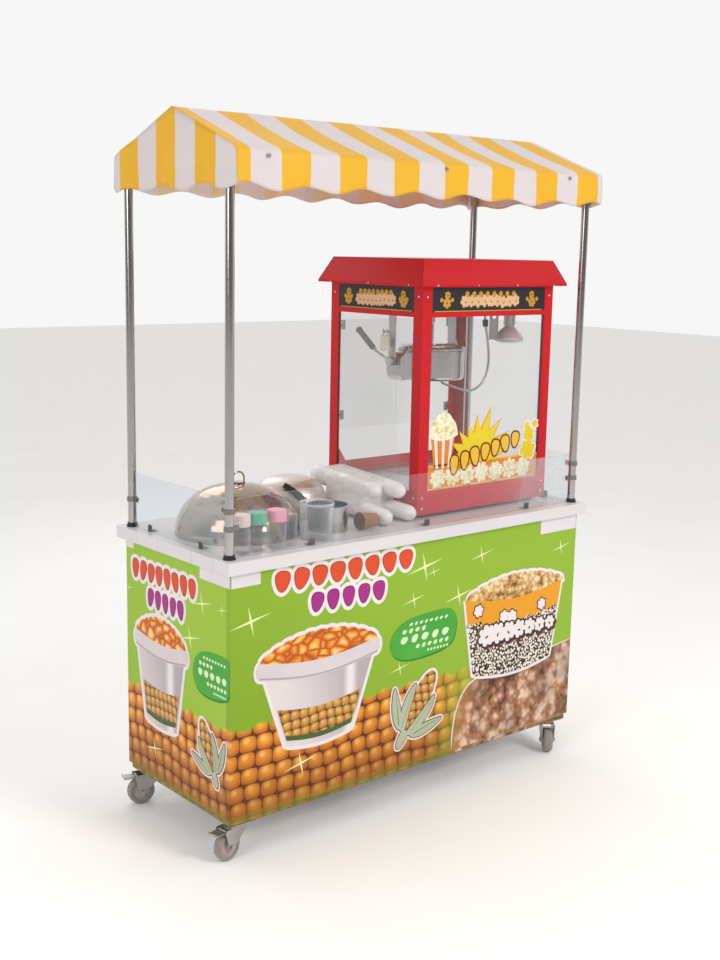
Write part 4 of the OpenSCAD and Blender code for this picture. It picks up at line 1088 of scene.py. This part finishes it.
def canopy_shell(half_l, half_w, ridge, foot):
    """Points and faces of the cloth, with the place of each face's corners along the stripes."""
    line, drops = canopy_profile(half_w, ridge, foot)
    columns, last = 150, len(line) - 1
    points, faces, cuts, where = [], [], [], {}

    def mark(key, spot):
        if key not in where:
            where[key] = len(points)
            points.append(hanging_place(spot, half_w, foot))
        return where[key], spot

    def face(corners, axis, start):
        faces.append([index for index, _ in corners])
        cuts.append([(spot[axis] - start) / STRIPE for _, spot in corners])

    def over(i, j):
        return mark(("top", i, j), (-half_l + 2 * half_l * i / columns, *line[j]))

    def hang(side, j, k):
        """Row k of the drops below the profile's point j; the outermost columns belong to the valance."""
        if j <= drops or j >= last - drops:
            return over(side, k if j <= drops else last - k)
        if k == drops:
            return over(side, j)
        y, z = line[j]
        spot = (-half_l + 2 * half_l * side / columns, y, foot + (z - foot) * k / drops)
        return mark(("end", side, j, k), spot)
    for i in range(columns):
        for j in range(last):
            face([over(i, j), over(i + 1, j), over(i + 1, j + 1), over(i, j + 1)], 0, FRONT_STRIPE_START)
    for side in (0, columns):
        for j in range(drops, last - drops):
            for k in range(drops):
                corners = [hang(side, *at) for at in ((j, k), (j + 1, k), (j + 1, k + 1), (j, k + 1))]
                face(corners, 1, GABLE_STRIPE_START)
    return points, faces, cuts


def mark_cut(cover, faces, cuts):
    """Stores the places along the stripes as the cloth's UV map, and turns the cloth's outside out."""
    layer = cover.data.uv_layers.new(name="cut")
    lookup = {tuple(sorted(f)): dict(zip(f, c)) for f, c in zip(faces, cuts)}
    for polygon in cover.data.polygons:
        known = lookup[tuple(sorted(polygon.vertices))]
        for loop, vertex in zip(polygon.loop_indices, polygon.vertices):
            layer.data[loop].uv = (known[vertex], 0)
    middle = Vector((0, 0, EAVE_Z - 0.1))
    inward = sum((p.center - middle).dot(p.normal) < 0 for p in cover.data.polygons)
    if inward > len(cover.data.polygons) / 2:
        cover.data.flip_normals()


def canopy_cover():
    """One sheet of cloth over the canopy's tubes, with a gable at each end and a wavy valance all round."""
    low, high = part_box("canopy_cover")
    half_l, half_w, ridge, foot = high.x, high.y, high.z, low.z
    points, faces, cuts = canopy_shell(half_l, half_w, ridge, foot)
    outer = striped_cloth("canopy_cloth", ("EBB400", "E2A800"), ("DDD3D5", "D2C8CA"), 0.5)
    # The underside's paler yellow and white are painted light: they stand in for light shining through the
    # cloth.
    inner = striped_cloth("canopy_underside_painted_light", ("F6DDB4", "EFD2A4"), ("F3E4E0", "EAD9D4"), 0.6)
    cover = piece("canopy_cloth", points, faces, [outer, inner], "canopy_fabric", smooth=True)
    mark_cut(cover, faces, cuts)
    thick = cover.modifiers.new("cloth", "SOLIDIFY")
    thick.thickness = 0.0012
    thick.offset = -1
    thick.material_offset = 1
    thick.material_offset_rim = 0
    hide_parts("canopy_cover")


# ---- kettle conduit ----

def eased(stops, steps):
    """A smooth line through the stops."""
    line = []
    for i in range(len(stops) - 1):
        a, b = stops[i], stops[i + 1]
        before, after = stops[max(i - 1, 0)], stops[min(i + 2, len(stops) - 1)]
        for k in range(steps):
            t = k / steps
            line.append(0.5 * (2 * a + (b - before) * t + (2 * before - 5 * a + 4 * b - after) * t * t
                               + (3 * a - before - 3 * b + after) * t ** 3))
    return line + [stops[-1]]


# x and z along the conduit, up from the kettle
CONDUIT_STOPS = [(340, 1228), (340, 1219), (350, 1210), (374, 1202), (400, 1194), (425, 1187), (450, 1181),
                 (475, 1180), (500, 1186), (522, 1199), (538, 1218), (548, 1242), (553, 1270), (552, 1300),
                 (547, 1330), (541, 1360), (534, 1390), (530, 1416), (530, 1443)]
CONDUIT_Y = 0.040


def conduit():
    """The steel conduit from the tilting kettle to the ceiling plate."""
    stops = [Vector((x, CONDUIT_Y / MM, z)) * MM for x, z in CONDUIT_STOPS]
    path = eased(stops, 10)
    length = sum((b - a).length for a, b in zip(path, path[1:]))
    radius, sides = 0.004, 14
    points = []
    across = Vector((0, 1, 0))
    for i, spot in enumerate(path):
        run = (path[min(i + 1, len(path) - 1)] - path[max(i - 1, 0)]).normalized()
        up = run.cross(across).normalized()
        rib = radius * (1 + 0.06 * (i % 2))
        points += [spot + across * rib * math.cos(TURN * k / sides) + up * rib * math.sin(TURN * k / sides)
                   for k in range(sides)]
    steel = metal("conduit_steel", "B9B8B8", 0.3)
    tube = piece("kettle_conduit_hose", points, tube_faces(points, sides), steel, "stainless", None, True)
    nut = [(0, 0), (0.0055, 0), (0.0075, 0.002), (0.0075, 0.006), (0.009, 0.007), (0.009, 0.0138),
           (0, 0.0138)]
    fitting = piece("conduit_fitting", *lathe(path[-1] - UP * 0.002, UP, nut, 6),
                    metal("fitting_brass", "C9B27A", 0.3), "stainless")
    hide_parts("kettle_conduit")
    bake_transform(tube)


# ---- goods ----

def film_finish():
    """Milky plastic film drawn tight over white cups."""
    shade = Shade("cup_film", Coat_Weight=0.5, Coat_Roughness=0.12)
    shade.set(Subsurface_Weight=0.15, Subsurface_Scale=0.01)
    crinkle = shade.noise(28, 5, shade.stretched((1.6, 0.5, 1.6)))
    shade.tint(crinkle, "FBF8F7", "E3DDDC")
    shade.set(Roughness=crinkle * 0.3 + 0.25)
    shade.bump(crinkle, 0.006, 0.5)
    return shade.material


def cup_sleeve(name, start, end, finish):
    """Nested cups in film: a tapered log with faint rings, a domed end and a gathered tail."""
    start, end = Vector(start) * MM, Vector(end) * MM
    run = end - start
    length = run.length
    spin = run.to_track_quat("Z", "Y").to_matrix()
    sides, rings = 40, 110
    points = []
    for i in range(rings + 1):
        t = i / rings
        radius = 0.0236 + 0.0068 * t
        ends = min(t / 0.10, (1 - t) / 0.05, 1.0)
        radius *= math.sqrt(max(1 - (1 - ends) ** 2.2, 0.012))
        radius *= 1 + 0.018 * math.sin(TURN * t * length / 0.011)
        for k in range(sides):
            turn = TURN * k / sides
            slack = noise.noise(Vector((math.cos(turn) * 2 + start.x * 40, math.sin(turn) * 2, t * 9)))
            here = radius * (1 - 0.05 * abs(slack) - 0.012)
            points.append(start + spin @ Vector((here * math.cos(turn), here * math.sin(turn), length * t)))
    return piece(name, points, tube_faces(points, sides), finish, "cup_film", smooth=True)


def hull_reach(corners, way):
    """How far a convex outline round the origin reaches in a direction."""
    reach = math.inf
    for (a, b), (c, d) in zip(corners, corners[1:] + corners[:1]):
        facing, offset = (d - b) * way[0] + (a - c) * way[1], (d - b) * a + (a - c) * b
        if facing * offset > 0:
            reach = min(reach, offset / facing)
    return reach


def film_wrap(runs, finish):
    """Loose film drawn round the whole pile of sleeves, over its middle and far end."""
    sides, stations = 64, 34
    y0, y1 = -84, 176
    points = []
    for i in range(stations + 1):
        y = y0 + (y1 - y0) * i / stations
        dots = []
        for start, end in runs:
            t = (y - start[1]) / (end[1] - start[1])
            if 0 <= t <= 1:
                radius = 24.5 + 6.6 * t
                x, z = (start[i] + (end[i] - start[i]) * t for i in (0, 2))
                turns = [TURN * k / 24 for k in range(24)]
                dots += [Vector((x + radius * math.cos(a), z + radius * math.sin(a))) for a in turns]
        middle = sum(dots, Vector((0, 0))) / len(dots)
        corners = [tuple(dots[k] - middle) for k in convex_hull_2d(dots)]
        ends = min(i, stations - i)
        pinch = (0.80, 0.93, 0.985)[ends] if ends < 3 else 1.0
        for k in range(sides):
            way = (math.cos(TURN * k / sides), math.sin(TURN * k / sides))
            slack = noise.noise(Vector((way[0] * 2.5, way[1] * 2.5, y * 0.03)))
            here = hull_reach(corners, way) * pinch * (0.995 - 0.03 * abs(slack))
            points.append(Vector((middle[0] + here * way[0], y, middle[1] + here * way[1])) * MM)
    piece("cup_film_wrap", points, tube_faces(points, sides), finish, "cup_film", smooth=True)


def wrap_finish():
    """Milky see-through film with crinkles."""
    shade = Shade("cup_wrap_film", Base_Color="F7F3F1")
    crinkle = shade.noise(24, 5, shade.stretched((1.8, 0.6, 1.8)))
    shade.set(Roughness=crinkle * 0.3 + 0.3, Alpha=crinkle * 0.5 + 0.42)
    shade.bump(crinkle, 0.008, 0.6)
    return shade.material


def loose_cup():
    """A brown paper cup lying on its side, open towards the jars."""
    shade = Shade("kraft_paper")
    fibre = shade.noise(240, 3)
    shade.set(Base_Color=shade.mix(fibre, "B07C48", "8C5A2E"), Roughness=0.75)
    shade.bump(fibre, 0.0004, 0.3)
    axis = Vector((math.sin(math.radians(92)), 0, math.cos(math.radians(92))))
    profile = [(0.0, 0.0555), (0.0178, 0.0555), (0.0243, 0.002), (0.0247, -0.0004), (0.0255, -0.001),
               (0.0261, 0.0), (0.0259, 0.0014), (0.0252, 0.002), (0.0190, 0.0592), (0.0181, 0.0596),
               (0.0178, 0.0572), (0.0, 0.0572)]
    cup = lathe((-0.172, -0.176, 0.863), axis, profile, 56)
    piece("loose_paper_cup", *cup, shade.material, "cup_film", smooth=True)


def cup_goods():
    """Four wrapped sleeves piled beside the popper and the loose cup, in place of the plain solids."""
    finish = film_finish()
    z0, z1, up = 861, 868, 62
    runs = [((-74, -196, z0), (-41, 112, z1)), ((27, -190, z0), (27, 120, z1)),
            ((20, -150, z0 + up), (26, 160, z1 + up + 4)), ((-42, -110, z0 + up), (-37, 200, z1 + up + 4))]
    sleeves = [cup_sleeve("cup_sleeve_%d" % (i + 1), a, b, finish) for i, (a, b) in enumerate(runs)]
    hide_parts("cup_stacks")
    film_wrap(runs, wrap_finish())
    loose_cup()


# ---- small hardware ----

def screw(centre, axis, radius=0.0045, height=0.0022):
    """A pan-head screw with a shallow dish in its head."""
    head = [(0, 0), (1, 0), (1, 0.35), (0.86, 0.8), (0.45, 1), (0.34, 0.72), (0, 0.66)]
    return lathe(centre, axis, [(radius * a, height * b) for a, b in head], 20)


def popper_screws(steel):
    """Screws at the corners of the base, the posts and the header."""
    low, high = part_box("popper_base")
    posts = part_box("popper_corner_posts")
    parts = []
    levels = [low.z + 0.02, high.z - 0.018]
    for x in (low.x + 0.018, high.x - 0.018):
        parts += [screw((x, posts[0].y, z), (0, -1, 0)) for z in levels]
        parts.append(screw((x, posts[0].y, posts[1].z - 0.03), (0, -1, 0), 0.0035))
    for y in (posts[0].y + 0.018, posts[1].y - 0.018):
        parts += [screw((posts[0].x, y, z), (-1, 0, 0)) for z in levels]
        parts.append(screw((posts[0].x, y, posts[1].z - 0.03), (-1, 0, 0), 0.0035))
        parts += [screw((posts[1].x, y, z), (1, 0, 0)) for z in levels]
    piece("popper_screws", *gather(parts), steel, "chrome", smooth=True)


def window_gaskets():
    """Dark rubber beads where the windows meet the corner posts and the rail."""
    low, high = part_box("popper_windows")
    rubber = plastic("gasket_rubber", "4A4442", 0.6)
    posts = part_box("popper_corner_posts")
    inset, bead = 0.038, 0.003
    z0, z1 = low.z + 0.001, high.z
    parts = []
    for x in (posts[0].x + inset, posts[1].x - inset - bead):
        parts.append(box_mesh((x, low.y - 0.0002, z0), (x + bead, low.y + 0.001, z1)))
    for y in (posts[0].y + inset, posts[1].y - inset - bead):
        parts.append(box_mesh((low.x - 0.0002, y, z0), (low.x + 0.001, y + bead, z1)))
        parts.append(box_mesh((high.x - 0.001, y, z0), (high.x + 0.0002, y + bead, z1)))
    piece("window_gaskets", *gather(parts), rubber, "dark_plastic")


def kettle_fittings(steel):
    """Ceramic terminal block and wing nuts on the outside of the kettle's left arm."""
    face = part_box("kettle_hanger")[0].x
    mid_y = CONDUIT_Y
    ceramic = box_mesh((face - 0.017, mid_y - 0.014, 1.323), (face + 0.0003, mid_y + 0.014, 1.369), 0.003)
    piece("kettle_terminal_block", *ceramic, plastic("cream_ceramic", "E9E0C4", 0.3), "lamp_glass")
    nuts = []
    for y in (mid_y - 0.009, mid_y + 0.009):
        hexagon = [(0, 0), (0.005, 0), (0.005, 0.006), (0, 0.006)]
        nuts.append(lathe((face + 0.0003, y, 1.380), (-1, 0, 0), hexagon, 6))
        nuts.append(box_mesh((face - 0.010, y - 0.0012, 1.370), (face - 0.0055, y + 0.0012, 1.390), 0.0008))
    piece("kettle_wing_nuts", *gather(nuts), steel, "chrome")


def conduit_clamp():
    """Black clamp that holds the upper end of the conduit."""
    band = [(0.0046, 0), (0.0085, 0), (0.0095, 0.003), (0.0095, 0.019), (0.0085, 0.022), (0.0046, 0.022),
            (0.0046, 0)]
    ring = lathe((0.5331, CONDUIT_Y, 1.386), (-0.09, 0, 1), band, 28)
    piece("conduit_clamp", *ring, plastic("clamp_black", "1C1A1A", 0.4), "dark_plastic", smooth=True)


def roof_rivets(steel):
    """Rivets that hold the roof's soffit, along its lower edge."""
    low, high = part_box("popper_roof")
    parts = []
    for k in range(4):
        x = low.x + 0.06 + (high.x - low.x - 0.12) * k / 3
        parts.append(screw((x, low.y, low.z + 0.0035), (0, -1, 0), 0.0025, 0.0014))
    for k in range(3):
        y = low.y + 0.06 + (high.y - low.y - 0.12) * k / 2
        parts.append(screw((low.x, y, low.z + 0.0035), (-1, 0, 0), 0.0025, 0.0014))
    piece("roof_rivets", *gather(parts), steel, "chrome", smooth=True)


# ---- finishes of the CAD nodes ----

def dress(finish, *nodes):
    """Gives CAD nodes a finish."""
    for name in nodes:
        for slot in NODES[name].material_slots:
            slot.link = "OBJECT"
            slot.material = finish


def wheel_finish(name, node):
    """Grey tread on a paler moulded centre, split by the distance from the axle."""
    low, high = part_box(node)
    centre = (low + high) / 2
    shade = Shade(name)
    away = shade.node("ShaderNodeVectorMath", operation="DISTANCE")
    shade.feed(away.inputs[0], shade.place)
    shade.feed(away.inputs[1], centre)
    tread = Value(shade, away.outputs["Value"]).above(0.0305, 0.0006)
    dust = shade.noise(45, 4)
    body = shade.mix(dust, "C4BAB4", "A59B95")
    tyre = shade.mix(dust, "A99E98", "857B76")
    shade.set(Base_Color=shade.mix(tread, body, tyre), Roughness=dust * 0.2 + 0.45)
    shade.bump(dust, 0.001, 0.2)
    return shade.material


def jar_finish():
    """Clear jars with pale pink, green and pink caps, and a clear tub."""
    shade = Shade("jar_plastic", IOR=1.45)
    x, y, z = shade.axes()
    cap = z.above(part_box("clear_containers")[0].z + 0.074, 0.0006) * (x.above(-0.455) * -1 + 1)
    tint = shade.mix(x.above(-0.577), "EBD3D0", "5FB493")
    tint = shade.mix(x.above(-0.518), tint, "F2A3B8")
    wall = slant(shade, 0.35, "Facing") * 0.4 + 0.07 + z.between(0.934, 0.94, 0.001) * 0.3
    ribs = (x * 900).sin() * (y * 900).sin()
    shade.set(Base_Color=shade.mix(cap, "E3E4E8", tint), Roughness=cap * 0.3 + 0.1)
    shade.set(Alpha=(wall + cap).math("MINIMUM", 1.0))
    shade.bump(ribs * cap, 0.001, 0.3)
    return shade.material


def pane_and_steel(name):
    """A rear door: clear pane with steel knuckles and knob behind its outer face."""
    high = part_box("popper_corner_posts")[1]
    shade = Shade(name, IOR=1.49)
    y = shade.axes()[1]
    steel = y.above(high.y - 0.0008, 0.0003)
    shade.set(Base_Color=shade.mix(steel, "D6DADA", "C9C8C6"), Metallic=steel)
    shade.set(Roughness=steel * 0.2 + 0.05)
    haze = shade.noise(3, 2) * 0.03
    shade.set(Alpha=(slant(shade) * 0.3 + haze + steel + 0.03).math("MINIMUM", 1.0))
    return shade.material


def white_door(name):
    """A rear cabinet door: white board with steel hinge leaves behind its outer face."""
    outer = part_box("rear_frame")[1].y
    shade = Shade(name)
    y = shade.axes()[1]
    steel = y.above(outer + 0.0012, 0.0003)
    grain = shade.noise(30, 3)
    white = shade.mix(grain, "ECEAE8", "DEDBD8")
    shade.set(Base_Color=shade.mix(steel, white, "B9B9BB"), Metallic=steel)
    shade.set(Roughness=grain * 0.1 + 0.35)
    shade.bump(grain, 0.0005, 0.08)
    return shade.material


def strap_lid():
    """Brushed lid with a black strap that stands off its curve."""
    centre_x, centre_y, foot = -0.190, 0.133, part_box("dome_lid_right")[0].z
    radius = height = 0.116
    shade = Shade("small_dome")
    x, y, z = shade.axes()
    away = ((x - centre_x) ** 2.0 + (y - centre_y) ** 2.0) ** 0.5 / radius
    reach = away ** 3.0 + ((z - foot).max(0.0) / height) ** 3.0
    strap = reach.above(1.10, 0.02) * z.above(foot + 0.02, 0.001)
    grain = shade.noise(90, 3, shade.stretched((1, 1, 5)))
    brushed = shade.mix(grain, "DCD2CB", "C6B9B0")
    shade.tint(strap, brushed, "16120F")
    shade.set(Metallic=strap * -0.75 + 0.75, Roughness=strap * 0.2 + grain * 0.1 + 0.28)
    return shade.material


def handle_finish():
    """Plated crank with a dark moulded grip beyond the elbow."""
    shade = Shade("kettle_crank")
    _, y, z = shade.axes()
    grip = (z + y * 0.7).above(1.3775, 0.0008)
    grain = shade.noise(120, 2)
    moulded = shade.mix(grain, "3A332F", "231E1B")
    shade.tint(grip, "BDBAB6", moulded)
    shade.set(Metallic=grip * -1 + 1, Roughness=grip * 0.25 + grain * 0.1 + 0.2)
    return shade.material


def lamp_finish():
    """Reflector lamp: silvered bowl above, frosted face below, plain metal cap."""
    shade = Shade("reflector_lamp")
    z = shade.axes()[2]
    face = z.above(1.3445, 0.001) * -1 + 1
    smoke = shade.noise(30, 3)
    silver = shade.mix(smoke, "D2D0D0", "B2AFAF")
    shade.tint(face, silver, "F1EFEA")
    shade.set(Metallic=face * -0.35 + 0.35, Roughness=face * 0.3 + smoke * 0.1 + 0.3)
    return shade.material


def dress_cabinet():
    front = printed_panel("front_print", 0, 1, 0.0545, 0.0455, 0.16, "7FA61C", "93B92E")
    left = printed_panel("left_print", 1, -1, 0.0445, 0.0455, 0.6, "8DB522", "9DC42E")
    right = printed_panel("right_print", 1, 1, 0.0445, 0.0455, 0.6, "8DB522", "9DC42E")
    dress(front, "front_panel")
    dress(left, "left_end_panel")
    dress(right, "right_end_panel")
    dress(board("cabinet_white_board", "E8E5E2"), "cabinet_boards")
    dress(metal("frame_steel", "6E6A67", 0.4), "base_frame")
    dress(board("rear_frame_board", "EDEBE9"), "rear_frame")
    dress(white_door("cabinet_door_left_finish"), "cabinet_door_left", "cabinet_door_right")
    dress(metal("hinge_steel", "B9B9BB", 0.3), "cabinet_door_hinges", "popper_door_hinges")
    dress(laminate(), "worktop")
    return front, left, right


def foot_films(films, close_view):
    """The printed films lap down over the sides of the steel frame."""
    low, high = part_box("base_frame")
    foot, top = low.z / MM + 1.5, high.z / MM - 0.2
    popcorn_start = 141
    for side, finish in zip(sides_of("base_frame", "front", "left", "right"), films):
        tag, origin, across, start, stop = side
        wall = Wall(tag, origin, across)
        if tag == "front":
            wall.print("foot_popcorn", [block(popcorn_start, foot, stop / MM, top)], 1, close_view)
            stop = popcorn_start * MM
        wall.print("foot_film", [block(start / MM, foot, stop / MM, top)], 1, finish)


def dress_canopy():
    dress(metal("post_chrome", "BDB9B9", 0.1, (1, 1, 0.02)), "canopy_posts")
    dress(metal("frame_aluminium", "B4B4B6", 0.35, (0.05, 1, 1)), "canopy_frame")
    dress(plastic("socket_plastic", "2C2A2B", 0.45), "post_sockets")
    dress(metal("bright_steel", "CFCDCB", 0.16), "canopy_screws")
    dress(metal("clip_steel", "8F8A86", 0.22), "guard_clips")
    dress(clear("guard_acrylic", "CBD9E0", 0.04, 0.03, 2), "splash_guards")


def dress_castors():
    steel = zinc("zinc_plate")
    dress(steel, "castor_plates")
    for corner in ("lf", "lb", "rf", "rb"):
        dress(steel, "castor_fork_" + corner)
        dress(wheel_finish("wheel_" + corner, "castor_wheel_" + corner), "castor_wheel_" + corner)
    dress(metal("pedal_steel", "B5B2AF", 0.35), "brake_pedal_lf", "brake_pedal_lb")


def dress_popper():
    red = enamel("red_enamel", "D4141F", "BE0F1A")
    dress(red, "popper_base", "popper_corner_posts", "popper_header", "popper_roof", "popper_chute")
    dress(plastic("foot_rubber", "1E1C1C", 0.7), "popper_feet")
    steel = metal("brushed_steel", "C4C1BF", 0.26, (0.04, 1, 1))
    dress(steel, "popper_deck", "kernel_drawer", "steamer_pans")
    dress(steel, "stir_motor", "kettle_hanger", "lamp_holder")
    dress(plastic("sign_black", "1B1A20", 0.3), "sign_panels")
    dress(clear("popper_glass", "D6DADA", 0.012, 0.02), "popper_windows")
    dress(pane_and_steel("popper_door_finish"), "popper_door_left", "popper_door_right")
    dress(plastic("switch_plastic", "171717", 0.35), *("rocker_switch_" + letter for letter in "abc"))
    dress(metal("kettle_steel", "BDBAB8", 0.09, (1, 1, 9)), "kettle_pot", "kettle_stirrer")
    dress(metal("kettle_lid_steel", "BDBBBA", 0.22), "kettle_lid_front", "kettle_lid_rear")
    dress(handle_finish(), "kettle_handle")
    dress(lamp_finish(), "heat_lamp")


def dress_goods():
    dress(metal("polished_dome", "AB9686", 0.05), "dome_lid_left")
    dress(strap_lid(), "dome_lid_right")
    dress(jar_finish(), "clear_containers")
    dress(metal("pot_steel", "BEBBB9", 0.2, (1, 1, 6)), "sauce_pot")


FRONT_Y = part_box("front_panel")[0].y
END_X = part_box("right_end_panel")[1].x
CAD_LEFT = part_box("worktop")[0].x

add_camera()
conduit()
add_stage()
canopy_cover()
panel_films = dress_cabinet()
dress_canopy()
dress_castors()
dress_popper()
dress_goods()
bright = metal("small_screws", "D4D2D0", 0.2)
artwork = art_finishes()
front_artwork(artwork, cob_print("print_cob_front", 0, 1, 0.030, 0.026))
left_artwork(artwork, cob_print("print_cob_left", 1, -1, 0.023, 0.026))
foot_films(panel_films, artwork["close_view"])
popper_signs()
glass_decal(artwork)
cup_goods()
popper_screws(bright)
window_gaskets()
kettle_fittings(bright)
conduit_clamp()
roof_rivets(bright)
